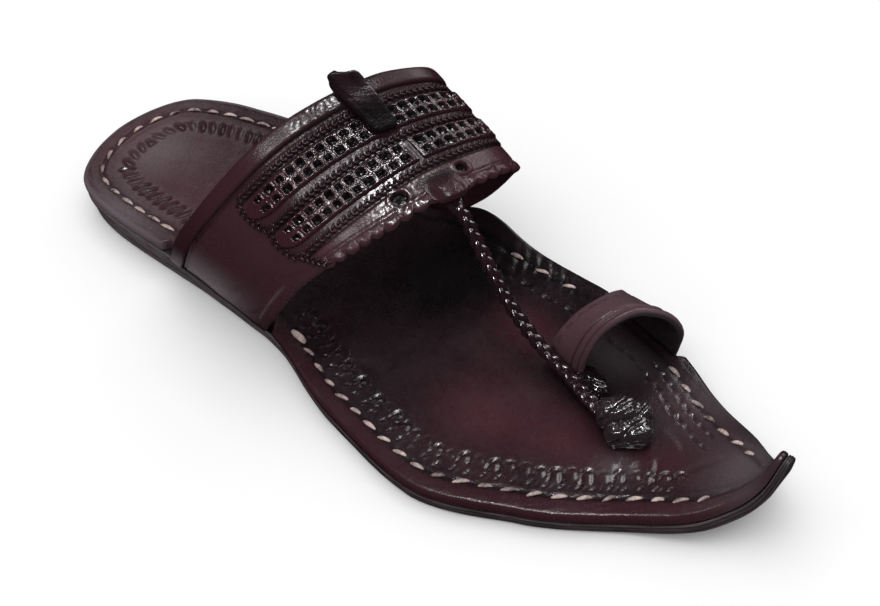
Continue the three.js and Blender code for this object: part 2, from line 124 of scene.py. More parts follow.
# Round holes: along, across, radius
ROUND_HOLES = [(0.463, 0.872, 2.3), (0.57, 0.862, 1.6)]
# Pinked front edge: from, to, number of teeth, how far they reach, depth of the cuts
SCALLOP_FROM, SCALLOP_TO, SCALLOP_COUNT = 22 / 80, 61 / 80, 17
SCALLOP_TIP, SCALLOP_DEPTH = 1.02, 0.03
# Laced lines along the band: across at the middle, lean towards the outer foot
LACED_LINES = [(0.195, 0.012), (0.482, 0.05), (0.748, 0.085)]
# Pressed grooves beside them
GROOVES = [(0.228, 0.012), (0.512, 0.05), (0.782, 0.085)]
LEAN_LENGTH = 0.258
# Where the band bends over most and is crumpled, and how far that reaches
CREST, CREST_REACH = 0.46, 0.06
# The band's size in mm, near enough to turn its shares into distances
BAND_LENGTH, BAND_WIDTH = 190, 46
# Rolled strip: place along the band, from and to across it, half widths at its rear and its front,
# rise of its free end and flatness
CENTRE, ROLL_FROM, ROLL_TO = 0.52, -0.02, 0.44
ROLL_REAR, ROLL_FRONT, ROLL_KNOB, ROLL_FLAT = 4.4, 3.2, 3.6, 0.8
# Rounded tab: place along the band, from and to across it, half its length, thickness
TAB_CENTRE, TAB_FROM, TAB_TO, TAB_HALF, TAB_THICKNESS = 0.527, 0.83, 1.06, 0.029, 1.8

# Camera in the sandal's own frame, fitted to the photograph's angle
CAMERA_TARGET = Vector((152.32, 9.85, 0.0))
CAMERA_DISTANCE = 430.3
CAMERA_TURN, CAMERA_RISE, CAMERA_ROLL = -42.21, 48.31, -9.51
CAMERA_FOCUS, IMAGE_WIDTH, SENSOR = 1256.69, 880, 36.0


# Curves and surfaces

def monotone(places, values):
    """Monotone cubic through (places, values): slopes are harmonic means, so no row is overshot."""
    width = np.diff(places)
    slope = np.diff(values) / width
    before, after = 2 * width[1:] + width[:-1], width[1:] + 2 * width[:-1]
    with np.errstate(divide="ignore", invalid="ignore"):
        mean = (before + after) / (before / slope[:-1] + after / slope[1:])
    mean = np.where(slope[:-1] * slope[1:] > 0, mean, 0.0)
    tangent = np.concatenate([slope[:1], mean, slope[-1:]])

    def curve(place):
        i = np.clip(np.searchsorted(places, place) - 1, 0, len(width) - 1)
        t = np.clip((place - places[i]) / width[i], 0, 1)
        start, end = width[i] * tangent[i], width[i] * tangent[i + 1]
        rise = values[i + 1] - values[i]
        turned = start + end - 2 * rise
        return values[i] + t * (start + t * (3 * rise - 2 * start - end + t * turned))

    return curve


def catmull(points):
    """Centripetal Catmull-Rom curve through points; u from 0 to 1 takes the spans in equal shares."""
    padded = np.vstack([2 * points[0] - points[1], points, 2 * points[-1] - points[-2]])
    spans = len(points) - 1

    def curve(u):
        place = np.clip(u, 0, 1) * spans
        i = np.minimum(place.astype(int), spans - 1)
        t = (place - i)[..., None]
        p0, p1, p2, p3 = (padded[i + k] for k in range(4))
        d0, d1, d2 = (np.linalg.norm(b - a, axis=-1, keepdims=True) ** 0.5
                      for a, b in ((p0, p1), (p1, p2), (p2, p3)))
        leave = ((p1 - p0) / d0 - (p2 - p0) / (d0 + d1) + (p2 - p1) / d1) * d1
        arrive = ((p2 - p1) / d1 - (p3 - p1) / (d1 + d2) + (p3 - p2) / d2) * d1
        rise = p2 - p1
        turned = leave + arrive - 2 * rise
        return p1 + t * (leave + t * (3 * rise - 2 * leave - arrive + t * turned))

    return curve


def unit(vectors):
    return vectors / np.maximum(np.linalg.norm(vectors, axis=-1, keepdims=True), 1e-9)


def smooth(value, low, high):
    """Rises from 0 at low to 1 at high, level at both ends."""
    t = np.clip((value - low) / (high - low), 0, 1)
    return t * t * (3 - 2 * t)


def bell(value, width):
    return np.exp(-((value / width) ** 2))


def waver(a, b, size):
    """A soft unevenness between about -1 and 1: sines of both places at four unlike pitches."""
    a, b = a / size, b / size
    return (np.sin(1.7 * a + 0.9 * b + 0.4) + np.sin(-1.1 * a + 2.3 * b + 2.1)
            + np.sin(2.9 * a + 1.3 * b + 4.2) * 0.6 + np.sin(0.7 * a - 3.7 * b + 5.5) * 0.5) / 3.1


def crumple(a, b, size):
    """A waver whose places are shifted by a broader one, so that no line of it repeats."""
    shift = 2.2 * size
    return waver(a + shift * waver(a, b, 3.1 * size), b + shift * waver(b, a, 2.3 * size), size)


def by_length(points, spacing):
    """Points at an even spacing along a polyline, and each one's length from its start."""
    step = np.linalg.norm(np.diff(points, axis=0), axis=1)
    length = np.concatenate([[0], np.cumsum(step)])
    places = np.linspace(0, length[-1], max(int(round(length[-1] / spacing)), 1) + 1)
    spaced = [np.interp(places, length, points[:, k]) for k in range(points.shape[1])]
    return np.stack(spaced, 1), places


# The sole: a flat plan of run and y, bent up at its toe and cupped at its waist

def run_angle(run):
    return np.arccos(1 - 2 * np.clip(run / SOLE_RUN, 0, 1))


_half = monotone(run_angle(OUTLINE[:, 0]), OUTLINE[:, 1])
_centre = monotone(run_angle(OUTLINE[:, 0]), OUTLINE[:, 2])
slope_at = monotone(CURL[:, 0], CURL[:, 1])
thickness_left = monotone(CURL[:, 0], CURL[:, 2])
TIP_ROUND = 5.0
_steps = np.arange(SOLE_RUN + 1)
_slopes = np.radians(slope_at(_steps[:-1] + 0.5))
_curl_x = np.concatenate([[0], np.cumsum(np.cos(_slopes))])
_curl_z = np.concatenate([[0], np.cumsum(np.sin(_slopes))])


def half_width(run):
    """Half width of the sole, the cut end of the toe rounded off over its last few millimetres."""
    into = np.clip((run - SOLE_RUN + TIP_ROUND) / TIP_ROUND, 0, 1)
    return _half(run_angle(run)) * np.sqrt(1 - into ** 2)


def centre_line(run):
    return _centre(run_angle(run))


def cup_rise(run, y):
    rise = 0.0
    for side, middle, length, height, margin in CUPS:
        inset = _half(run_angle(run)) - side * (y - centre_line(run))
        near = np.clip(1 - inset / margin, 0, 1.5)
        rise = rise + height * near ** 2 * bell(run - middle, length)
    return rise


def bend(run, y, z):
    """A point of the flat sole, lifted by the cups and carried along the curled bottom line."""
    slope = np.radians(slope_at(run))
    height = (z + cup_rise(run, y)) * thickness_left(run)
    x = np.interp(run, _steps, _curl_x) - height * np.sin(slope)
    return np.stack([x, y + 0 * x, np.interp(run, _steps, _curl_z) + height * np.cos(slope)], -1)


def outsole_bottom(run):
    return (HEEL_LIFT + GAP) * (1 - smooth(run, LIFT_FULL_TO, LIFT_GONE_AT))


def outsole_top(run):
    return outsole_bottom(run) + LAYER


def insole_bottom(run):
    return outsole_top(run) + GAP


def insole_top(run):
    return insole_bottom(run) + LAYER


def rim(run, side, inset):
    """A point of the outline on one side (-1 outer, 1 inner), moved inwards along its normal."""
    angle = run_angle(run)
    small = 1e-3

    def place(turn):
        turn = np.clip(turn, 0, np.pi)
        at = SOLE_RUN * (1 - np.cos(turn)) / 2
        return np.stack([at, centre_line(at) + side * half_width(at)], -1)

    way = unit(place(angle + small) - place(angle - small))
    outwards = side * np.stack([-way[..., 1], way[..., 0]], -1)
    flat = (run == 0) | (run == SOLE_RUN)
    ends = np.stack([np.where(run == 0, -1.0, 1.0), 0 * run], -1)
    outwards = np.where(flat[..., None], ends, outwards)
    return place(angle) - outwards * np.asarray(inset)[..., None]


def run_stations(first, last, count):
    """Runs from the heel forwards, even along the sole and bunched up at its round ends."""
    bunch = 0.6
    ends = bunch * np.linspace(0, 1, 10, endpoint=False) ** 2
    runs = np.linspace(first + bunch, last - bunch, count)
    return np.concatenate([first + ends, runs, last - ends[::-1]])


_outline_runs = run_stations(0, SOLE_RUN, 700)
_loop = np.concatenate([
    rim(_outline_runs, -1, 0 * _outline_runs), rim(_outline_runs[::-1], 1, 0 * _outline_runs)])
_loop, _loop_length = by_length(_loop, 0.5)
_loop_way = unit(np.roll(_loop, -1, 0) - np.roll(_loop, 1, 0))


def from_edge(run, y):
    """Distance of flat points from the outline, and the length along it where they are nearest."""
    points = np.stack([run.ravel(), y.ravel()], 1)
    nearest = np.concatenate([
        np.argmin(((part[:, None] - _loop[None, ::2]) ** 2).sum(-1), 1) * 2
        for part in np.array_split(points, max(len(points) // 2000, 1))])
    away = points - _loop[nearest]
    along = (away * _loop_way[nearest]).sum(1)
    inset = np.abs(away[:, 0] * _loop_way[nearest, 1] - away[:, 1] * _loop_way[nearest, 0])
    return inset.reshape(run.shape), (_loop_length[nearest] + along).reshape(run.shape)


# Straps: surfaces of a place along the strap, a place across it and a height over its middle

def strap(table):
    rear, front = catmull(table[:, 0].astype(float)), catmull(table[:, 1].astype(float))

    def point(along, across):
        start = rear(along)
        return start + (front(along) - start) * across[..., None]

    def surface(along, across, height):
        along, across, height = np.broadcast_arrays(along, across, height)
        step = 0.004
        way = point(along + step, across) - point(along - step, across)
        over = point(along, across + step) - point(along, across - step)
        return point(along, across) + unit(np.cross(over, way)) * height[..., None]

    return surface


band = strap(BAND)
toe_loop = strap(LOOP)


def band_front(along):
    """The band's front edge, pinked into scallops between its plain sides."""
    place = (along - SCALLOP_FROM) / (SCALLOP_TO - SCALLOP_FROM)
    inside = (place > 0) & (place < 1)
    tooth = place * SCALLOP_COUNT
    uneven = 0.75 + 0.25 * np.sin(2.3 * np.floor(tooth))
    cut = SCALLOP_DEPTH * uneven * (1 - np.abs(np.sin(np.pi * tooth)))
    grown = smooth(place, 0.0, 0.05) * (1 - smooth(place, 0.9, 1.0))
    return np.where(inside, 1 + grown * (SCALLOP_TIP - cut - 1), 1.0)


def leaning(along, lean):
    """How far a line of the band's design has moved forward at a place along the outer half."""
    return lean * np.clip((SIDES["lateral"][1] - along) / LEAN_LENGTH, 0, 1.1)


def foot_place(surface, across, guess, floor):
    """The place along a strap where its middle stands at floor(x, y), by a few Newton steps."""
    along = np.full_like(across, guess)
    step = 1e-3

    def over_floor(place):
        here = surface(place, across, 0 * place)
        return here[..., 2] - floor(here[..., 0], here[..., 1])

    for _ in range(8):
        miss = over_floor(along)
        rate = (over_floor(along + step) - miss) / step
        rate = np.where(np.abs(rate) < 1, np.sign(rate) + (rate == 0), rate)
        along = np.clip(along - miss / rate, 0, 1)
    return along


def strap_ends(surface, across, outer, inner):
    """Places of a strap's outer and inner foot, each found from a guess and a floor."""
    return foot_place(surface, across[:1], *outer), foot_place(surface, across[:1], *inner)


def tuck(lift):
    """The floor under a strap's end, which is tucked in that much over the outsole."""
    return lambda x, y: outsole_top(x) + cup_rise(x, y) + lift


# Meshes

def grid_faces(rows, columns, copies):
    """Quads of one or more equal grids of points, with every row joined up into a ring."""
    i, j = np.meshgrid(np.arange(rows - 1), np.arange(columns), indexing="ij")
    here, above, right = i * columns, (i + 1) * columns, (j + 1) % columns
    quads = np.stack([here + j, above + j, above + right, here + right], -1).reshape(-1, 4)
    return (quads[None] + (np.arange(copies) * rows * columns)[:, None, None]).reshape(-1, 4)


def spread(values, shape):
    """An attribute's value at each point of a grid: repeated on the rows that close a tube."""
    values = np.asarray(values, dtype=np.float32)
    if values.ndim > 1 and len(values) == shape[0] - 2:
        values = np.pad(values, ((1, 1), (0, 0)), mode="edge")
    return np.broadcast_to(values, shape).ravel()


def new_piece(context, name, points, slot, replaced=(), look=None, **attributes):
    """A closed mesh from one or more grids of points in mm, whose rows are rings: its doubles
    merged and its faces turned outwards, with the slot's finish or another look."""
    shape = points.shape[:-1]
    faces = grid_faces(*shape[-2:], copies=int(np.prod(shape[:-2])))
    points = (points.reshape(-1, 3) + FRAME_SHIFT) / 1000
    corners = points[faces]
    volume = (corners[:, 0] * np.cross(corners[:, 1], corners[:, 2])
              + corners[:, 0] * np.cross(corners[:, 2], corners[:, 3])).sum()
    if volume < 0:
        faces = faces[:, ::-1]
    mesh = bpy.data.meshes.new(name)
    mesh.vertices.add(len(points))
    mesh.vertices.foreach_set("co", points.ravel())
    mesh.loops.add(faces.size)
    mesh.loops.foreach_set("vertex_index", faces.ravel().astype(np.int32))
    mesh.polygons.add(len(faces))
    mesh.polygons.foreach_set("loop_start", np.arange(0, faces.size, 4, dtype=np.int32))
    mesh.update(calc_edges=True)
    for key, values in attributes.items():
        layer = mesh.attributes.new(key, "FLOAT", "POINT")
        layer.data.foreach_set("value", spread(values, shape))
    work = bmesh.new()
    work.from_mesh(mesh)
    bmesh.ops.remove_doubles(work, verts=work.verts, dist=1e-7)
    bmesh.ops.dissolve_degenerate(work, edges=work.edges, dist=1e-8)
    work.to_mesh(mesh)
    work.free()
    mesh.polygons.foreach_set("use_smooth", np.ones(len(mesh.polygons), dtype=bool))
    mesh.materials.append(finish(context, look or slot))
    piece = bpy.data.objects.new(name, mesh)
    bpy.context.scene.collection.objects.link(piece)
    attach(piece, "root")
    if replaced:
        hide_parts(*replaced)
    return piece


def turns(corners):
    """Angles of that many points, even round a ring."""
    return 2 * np.pi * np.arange(corners) / corners


def closed_ends(points):
    """Adds a first and a last row that draw the open ends of tubes together at their middles."""
    first, last = (np.broadcast_to(row.mean(-2, keepdims=True), row.shape)
                   for row in (points[..., :1, :, :], points[..., -1:, :, :]))
    return np.concatenate([first, points, last], -3)


def both_faces(upper, lower=None):
    """A sheet's upper face, carried on along its lower one: the same backwards, or one value."""
    back = upper[:, ::-1] if lower is None else np.full_like(upper, lower)
    return np.concatenate([upper, back], 1)


def tube(path, side, up, widths, heights, corners):
    """An oval tube along a path: half widths to the side and half heights upwards, ends closed."""
    turn = turns(corners)
    ring = (path[:, None] + side[:, None] * (widths[:, None] * np.cos(turn))[..., None]
            + up[:, None] * (heights[:, None] * np.sin(turn))[..., None])
    return closed_ends(ring)


def travel(path):
    """Direction of travel at each point of a path."""
    return unit(np.gradient(path, axis=0))


def lump(centre, way, reach, power, folds, phase):
    """A closed lump about a level axis: an oval block, squarer for a higher power, with folds wound
    round it and fine grooves on its ends."""
    tilt, turn = np.linspace(0, np.pi, 48)[:, None], turns(56)[None]
    level = np.sin(tilt)
    ball = np.stack([np.cos(tilt) + 0 * turn, level * np.cos(turn), level * np.sin(turn)], -1)
    size = (np.abs(ball) ** power).sum(-1) ** (-1 / power)
    wound = bell(np.sin(folds * turn / 2 + 1.8 * np.cos(tilt) + phase), 0.16)
    ends = bell(tilt - 0.45, 0.3) * np.cos(14 * turn)
    x, y, z = 3 * ball[..., 0], ball[..., 1], 3 * ball[..., 2]
    rumple = 0.09 * waver(x + phase, z + 2 * y, 0.5)
    rumple = rumple + 0.07 * waver(3 * y, z + phase, 0.2)
    swell = 1 + np.sin(tilt) * (rumple - 0.2 * wound + 0.06 * ends)
    axis = unit(np.array([*way, 0.0]))
    axes = np.stack([axis, [-axis[1], axis[0], 0.0], [0.0, 0.0, 1.0]])
    return np.array(centre) + (ball * (size * swell)[..., None] * np.array(reach)) @ axes


# Sole layers

# Edge profile of a sole layer from its top to its bottom: inset in mm, share of the thickness
INSOLE_EDGE = np.array([
    (1.5, 1.0), (1.0, 0.985), (0.62, 0.945), (0.32, 0.875), (0.12, 0.78), (0.03, 0.66),
    (0.0, 0.5), (0.02, 0.3), (0.1, 0.14), (0.3, 0.03), (0.7, 0.0),
])
OUTSOLE_EDGE = np.array([
    (1.6, 1.0), (0.75, 0.985), (0.3, 0.93), (0.12, 0.84), (0.1, 0.76), (0.28, 0.7), (0.3, 0.66),
    (0.06, 0.6), (0.0, 0.5), (0.04, 0.42), (0.3, 0.37), (0.3, 0.33), (0.08, 0.27), (0.12, 0.16),
    (0.4, 0.06), (1.2, 0.0),
])
LIFT_EDGE = np.array([
    (1.3, 1.0), (0.5, 0.98), (0.15, 0.92), (0.0, 0.82), (0.02, 0.7), (0.1, 0.6), (0.45, 0.55),
    (0.45, 0.5),
    (0.1, 0.45), (0.0, 0.36), (0.05, 0.22), (0.2, 0.1), (0.6, 0.02), (1.4, 0.0),
])
# The insole's edge is drawn in where straps pass it: side, from run, to run, depth
NOTCHES = [(-1, 65, 119, 2.7), (1, 77, 139, 1.9), (1, 203, 233, 3.3)]
NOTCH_EASE = 3.0


def notch(run, side):
    """How far the insole's edge is drawn in, eased at both ends of each notch."""
    drawn = 0 * run
    for which, first, last, depth in NOTCHES:
        if which == side:
            drawn = drawn + (depth * smooth(run, first - NOTCH_EASE, first)
                             * (1 - smooth(run, last, last + NOTCH_EASE)))
    return drawn


def sole_shell(runs, edge, shares, under_shares, bottom, top, inset, relief=None, uneven=0.0):
    """A layer of the sole as a ring of points at each run: over the top from the outer to the inner
    side, down the edge profile, back along the bottom and up again. The edge wavers by uneven, less
    at the sole's ends, and relief(run, y) raises the top."""
    column = runs[:, None]
    low, high = bottom(column), top(column)
    drop, share = edge.T[:, None]

    def edge_points(side):
        wave = uneven * waver(column, 40 * share + 7 * side, 5.0)
        wave = wave * np.sin(np.pi * np.clip(share, 0.02, 0.98))
        wave = wave * smooth(np.minimum(column, SOLE_RUN - column), 0, 4)
        flat = rim(np.broadcast_to(column, wave.shape), side, drop + inset(column, side) + wave)
        return np.stack([flat[..., 0], flat[..., 1]]), low + (high - low) * share

    (outer, outer_z), (inner, inner_z) = edge_points(-1), edge_points(1)
    over = outer[..., :1] + (inner[..., :1] - outer[..., :1]) * shares
    under = inner[..., -1:] + (outer[..., -1:] - inner[..., -1:]) * under_shares
    run, y = np.concatenate([outer[..., ::-1], over, inner, under], -1)
    z = np.concatenate([outer_z[:, ::-1], high + 0 * over[0], inner_z, low + 0 * under[0]], 1)
    height = (z - low) / np.maximum(high - low, 1e-6)
    if relief is not None:
        z = z + relief(run, y) * smooth(height, 0.5, 1.0)
    return run, y, z, height


# Stamped border: side, from run, to run
MARK_ZONES = [(-1, -1, 66), (1, -1, 80), (-1, 124, 264), (1, 150, 264)]
HEEL_MARKS_TO, SECOND_ROW_FROM = 100, 228
ARCH_OFFSET = 4.3
ARCH_SHARE = 0.36


def mark_inset(run):
    """Inset of the outer row of marks: wider round the back of the heel than along the forefoot."""
    heel = 13.0 + 3.2 * bell(run, 22)
    return heel + (10.2 - heel) * smooth(run, 90, 125)


def mark_pitch(run, pitch):
    """Spacing of the marks: closer on the heel than on the forefoot."""
    return pitch * (0.88 + 0.12 * smooth(run, 90, 125))


def stitch_inset(run):
    """Inset of the sole's stitch line."""
    return 7.4 - 0.9 * smooth(run, 60, 150) - 2.4 * smooth(run, 262, 290)


# Creases of the insole: start x, start y, end x, end y, width, depth
INSOLE_CREASES = [
    (163, 41.5, 171, 30, 1.3, 0.25), (167, 41.5, 174, 32, 1.1, 0.3), (172, 41, 178, 33, 1.0, 0.28),
    (176.5, 41, 183, 34.5, 1.0, 0.3), (182, 41, 187, 36, 1.0, 0.25),
    (158, 40.5, 165, 28, 1.5, 0.25),
    (251, -4, 256, -13.5, 1.0, 0.45), (247, 6, 259, 3, 1.2, 0.3), (262, -6, 268, 6, 1.6, 0.35),
    (150, -34, 160, -26, 2.0, 0.3), (176, -44, 182, -34, 2.0, 0.25),
    (239, -9, 246, -16, 1.6, 0.3), (68, -12, 74, 14, 3.5, 0.3),
]


# Crinkled patches of the insole: x, y, reach
INSOLE_CRINKLES = [(239, -13, 6), (179, 36, 6), (187, 34, 5), (252, -12, 6), (228, 11, 6)]


def troughs(a, b, creases):
    """Soft troughs along given lines: a bell of the distance from each, deepest midway."""
    depth = 0.0
    for x0, y0, x1, y1, width, deep in creases:
        length = np.hypot(x1 - x0, y1 - y0)
        t = ((a - x0) * (x1 - x0) + (b - y0) * (y1 - y0)) / length ** 2
        off = ((a - x0) * (y1 - y0) - (b - y0) * (x1 - x0)) / length + 0.5 * width * np.sin(5 * t)
        fade = np.sin(np.pi * np.clip(t, 0, 1)) ** 0.6
        depth = depth - deep * fade * (bell(off, width) - 0.45 * bell(off - 1.7 * width, width))
    return depth


def count_along(inset, pitch):
    """Repeats counted along the outline: the length of a line at inset(run), over pitch(run)."""
    run = np.abs(_loop[:, 0])
    line = _loop - inset(run)[:, None] * np.stack([_loop_way[:, 1], -_loop_way[:, 0]], 1)
    step = np.linalg.norm(np.diff(line, axis=0), axis=1)
    return np.concatenate([[0], np.cumsum(step / pitch(run[1:]))])


def stamped_border(run, side, inset, length, depth, pitch):
    """Rows of stamped marks, each struck with a force of its own. Outer forefoot: arches that open
    towards the edge, each round a raised pad, and slanting dashes outside them. Inner forefoot:
    short crescents along the edge. Heel: slanting oval leaves."""
    spacing = mark_pitch(run, pitch)
    counts = count_along(lambda at: mark_inset(at) + 3, lambda at: mark_pitch(at, pitch))
    count = np.interp(length, _loop_length, counts)
    number = np.floor(count)
    place = (count - number - 0.5) * spacing
    force = 0.68 + 0.32 * np.sin(2.4 * number + 1.7 * np.sin(0.7 * number))
    outer = inset - mark_inset(run)
    inner = outer - ARCH_OFFSET + 0.4 * np.sin(1.9 * number)
    beside = np.mod(count, 1.0) * spacing
    beside = np.where(beside > spacing / 2, beside - spacing, beside)
    radius = ARCH_SHARE * spacing
    ring = np.hypot(place, np.maximum(inner, 0))
    leg = 0.5 + 1.6 * bell(run - 238, 12) + 0.5 * np.sin(3.1 * number)
    legs = 1 - smooth(-inner, leg, leg + 1.2)
    pads = 0.22 * (1 - smooth(ring, 0.35 * radius, 0.85 * radius)) * legs
    arches = pads - bell(ring - radius, 0.5) * legs
    slanted = beside - 0.5 * outer
    dashes = bell(slanted, 0.45) - 0.4 * bell(slanted - 1.0, 0.5)
    dashes = dashes * (1 - smooth(np.abs(outer), 0.6, 1.2))
    bowed = inner + 0.1 * place ** 2
    crescents = bell(bowed, 0.6) - 0.5 * bell(bowed - 1.1, 0.5)
    crescents = crescents * (1 - smooth(np.abs(place), 1.1, 2.0))
    second = bell(outer, 0.55) - 0.4 * bell(outer - 1.0, 0.5)
    second = second * (1 - smooth(np.abs(beside), 1.0, 1.9))
    second = second * (run > SECOND_ROW_FROM)
    middle = outer - 2.4
    leaning_place = place + 0.4 * side * middle
    leaf = np.hypot(leaning_place / 1.5, middle / 3.7)
    leaf_rim = 0.5 * bell(leaning_place + 1.75 * side, 0.5) * (np.abs(middle) < 2.4)
    leaves = 1 - smooth(leaf, 0.45, 1.1) - leaf_rim
    kinds = [run < HEEL_MARKS_TO, side > 0]
    marks = np.select(kinds, [-0.7 * leaves, -crescents - second], arches - 0.9 * dashes)
    zone = 0.0
    for which, first, last in MARK_ZONES:
        zone = zone + ((side == which) * smooth(run, first - 1, first + 1)
                       * (1 - smooth(run, last - 4, last + 1)))
    return depth * force * zone * marks


def insole_relief(run, y, sizes):
    """Height added to the insole's top: dished heel and ball, stitch channel, stamped border,
    crinkled patches and creases."""
    inset, length = from_edge(run, y)
    side = np.where(y > centre_line(run), 1, -1)
    past = inset - stitch_inset(run)
    height = -0.9 * bell(run - 42, 27) * bell(y, 21) - 0.8 * bell(run - 198, 36) * bell(y + 6, 30)
    height = height - 0.22 * bell(past, 0.9) + 0.12 * bell(inset - 3.4, 1.8)
    height = height + 0.08 * bell(past - 2.2, 1.0)
    height = height + 0.08 * bell(past, 2.2) * waver(length, inset, 1.1)
    height = height + 0.06 * bell(inset - 2.5, 2.5) * waver(length, 2 * inset, 2.0)
    depth, pitch = mm(sizes.mark_depth), mm(sizes.mark_pitch)
    height = height + stamped_border(run, side, inset, length, depth, pitch)
    for x, across, reach in INSOLE_CRINKLES:
        height = height + 0.13 * bell(np.hypot(run - x, y - across), reach) * crumple(run, y, 0.85)
    return height + troughs(run, y, INSOLE_CREASES) + 0.09 * waver(run, y, 6.0)


# Finishes

# Black for dark dye and for painted shade in hollows, on the leathers and on the sole's edge
DYE_AND_SHADE_BLACK, SOLE_DYE_AND_SHADE_BLACK = (0.0035, 0.003, 0.0033), (0.003, 0.003, 0.003)
# Leathers: gloss, grain, coat, shine and the coat's roughness
LEATHERS = {
    "insole_leather": (0.27, 0.22, 0.04, 0.27, 0.2),
    "upper_leather": (0.30, 0.30, 0.02, 0.24, 0.2),
    "binding_leather": (0.32, 0.30, 0.02, 0.24, 0.2),
    "panel_leather": (0.21, 0.25, 0.20, 0.46, 0.2),
    "strap_leather": (0.18, 0.3, 0.55, 0.60, 0.13),
}


def set_sockets(tree, node, values):
    """Links or sets inputs of a node."""
    for key, value in values.items():
        if isinstance(value, bpy.types.NodeSocket):
            tree.links.new(value, node.inputs[key])
        else:
            node.inputs[key].default_value = value


def add_node(tree, kind, values, **settings):
    node = tree.nodes.new(kind)
    for key, value in settings.items():
        setattr(node, key, value)
    set_sockets(tree, node, values)
    return node


def new_material(name):
    """A material with its nodes, its shader and the places that its textures follow."""
    material = bpy.data.materials.new(name)
    material.use_nodes = True
    tree = material.node_tree
    place = add_node(tree, "ShaderNodeTexCoord", {}).outputs["Object"]
    return material, tree, tree.nodes["Principled BSDF"], place


def noise(tree, place, scale, detail, roughness=0.5, distortion=0.0):
    values = {"Vector": place, "Scale": scale, "Detail": detail}
    values.update({"Roughness": roughness, "Distortion": distortion})
    return add_node(tree, "ShaderNodeTexNoise", values).outputs[0]


def painted(tree, key):
    """The value of a piece's own attribute."""
    return add_node(tree, "ShaderNodeAttribute", {}, attribute_name=key).outputs["Fac"]


def mixed(tree, share, first, second):
    values = {0: share, 6: first, 7: second}
    return add_node(tree, "ShaderNodeMix", values, data_type="RGBA").outputs[2]


def ranged(tree, value, low, high, to_low, to_high):
    values = {0: value, 1: low, 2: high, 3: to_low, 4: to_high}
    return add_node(tree, "ShaderNodeMapRange", values).outputs[0]


def bumped(tree, height, strength, distance, **normal):
    values = {"Strength": strength, "Distance": distance, "Height": height, **normal}
    return add_node(tree, "ShaderNodeBump", values).outputs[0]


def rgba(colour):
    return (*colour, 1.0)


def leather(name, colours, gloss, grain, coat, shine, polish):
    """Dyed and waxed leather: brown mottled with dark, red where the tone attribute says that it
    was rubbed, grey for a painted sheen and reflection, black for dark dye and painted shade.
    Wrinkles and pores are bump, smears are in the roughness, and wax fills up the coat."""
    material, tree, shader, place = new_material(name)
    dark = rgba(colours.dark_dye)
    cloud, fleck = noise(tree, place, 55.0, 4.0, 0.48), noise(tree, place, 420.0, 4.0, 0.65)
    wrinkle = noise(tree, place, 210.0, 6.0, 0.55, 1.2)
    pores = add_node(tree, "ShaderNodeTexVoronoi", {"Vector": place, "Scale": 1150.0},
                     feature="DISTANCE_TO_EDGE").outputs["Distance"]
    colour = mixed(tree, ranged(tree, cloud, 0.28, 0.72, 0.0, 1.0), dark, rgba(colours.brown_dye))
    colour = mixed(tree, painted(tree, "tone"), colour, rgba(colours.red_dye))
    # Painted sheen: grey mixed in where light or the floor's reflection would shine
    colour = mixed(tree, painted(tree, "bloom"), colour, rgba(colours.sheen_grey))
    colour = mixed(tree, ranged(tree, fleck, 0.52, 0.75, 0.0, 0.1), colour, dark)
    # Black mixed in for dark dye and for painted shade
    colour = mixed(tree, painted(tree, "soot"), colour, rgba(DYE_AND_SHADE_BLACK))
    smear = add_node(tree, "ShaderNodeMath", {0: cloud, 1: fleck}, operation="ADD").outputs[0]
    low = bumped(tree, wrinkle, grain, 0.00035)
    edge = ranged(tree, pores, 0.0, 0.25, 0.0, 1.0)
    set_sockets(tree, shader, {
        "Base Color": colour,
        "Roughness": ranged(tree, smear, 0.7, 1.35, gloss - 0.07, gloss + 0.11),
        "Normal": bumped(tree, edge, grain, 0.00012, Normal=low),
        "Specular IOR Level": shine,
        "Coat Weight": ranged(tree, painted(tree, "wax"), 0.0, 1.0, coat, 1.0),
        "Coat Roughness": polish,
    })
    return material


def thread(name, colours):
    """Waxed stitching thread: pale fibres with brown stains, and a fine twist as bump."""
    material, tree, shader, place = new_material(name)
    pale, stain = rgba(colours.thread), rgba(colours.brown_dye)
    blot, fibre = noise(tree, place, 130.0, 4.0, 0.7), noise(tree, place, 1600.0, 3.0)
    colour = mixed(tree, ranged(tree, blot, 0.36, 0.62, 0.0, 0.9), pale, stain)
    colour = mixed(tree, ranged(tree, fibre, 0.45, 0.75, 0.0, 0.5), colour, stain)
    set_sockets(tree, shader, {
        "Base Color": colour, "Normal": bumped(tree, fibre, 0.5, 0.0002), "Roughness": 0.55})
    return material


def sole_edge(name, colours):
    """Burnished sole leather: black with red rubbed through in blots, grey for a painted sheen and
    highlight, streaks along the layers as colour and bump, black lines where the layers meet."""
    material, tree, shader, place = new_material(name)
    black = rgba(colours.edge_black)
    flatter = {"Vector": place, "Scale": (0.12, 0.12, 1.0)}
    flat = add_node(tree, "ShaderNodeMapping", flatter).outputs[0]
    streak, blot = noise(tree, flat, 1500.0, 4.0, 0.6), noise(tree, place, 70.0, 5.0, 0.6)
    colour = mixed(tree, ranged(tree, blot, 0.42, 0.7, 0.0, 0.7), black, rgba(colours.red_dye))
    # Painted sheen: grey mixed in
    colour = mixed(tree, painted(tree, "bloom"), colour, rgba(colours.sheen_grey))
    colour = mixed(tree, ranged(tree, streak, 0.5, 0.7, 0.0, 0.6), colour, black)
    colour = mixed(tree, painted(tree, "soot"), colour, rgba(SOLE_DYE_AND_SHADE_BLACK))
    set_sockets(tree, shader, {
        "Base Color": colour,
        "Roughness": ranged(tree, blot, 0.3, 0.7, 0.3, 0.55),
        "Normal": bumped(tree, streak, 0.45, 0.0004),
        "Coat Weight": 0.15,
        "Coat Roughness": 0.3,
    })
    return material


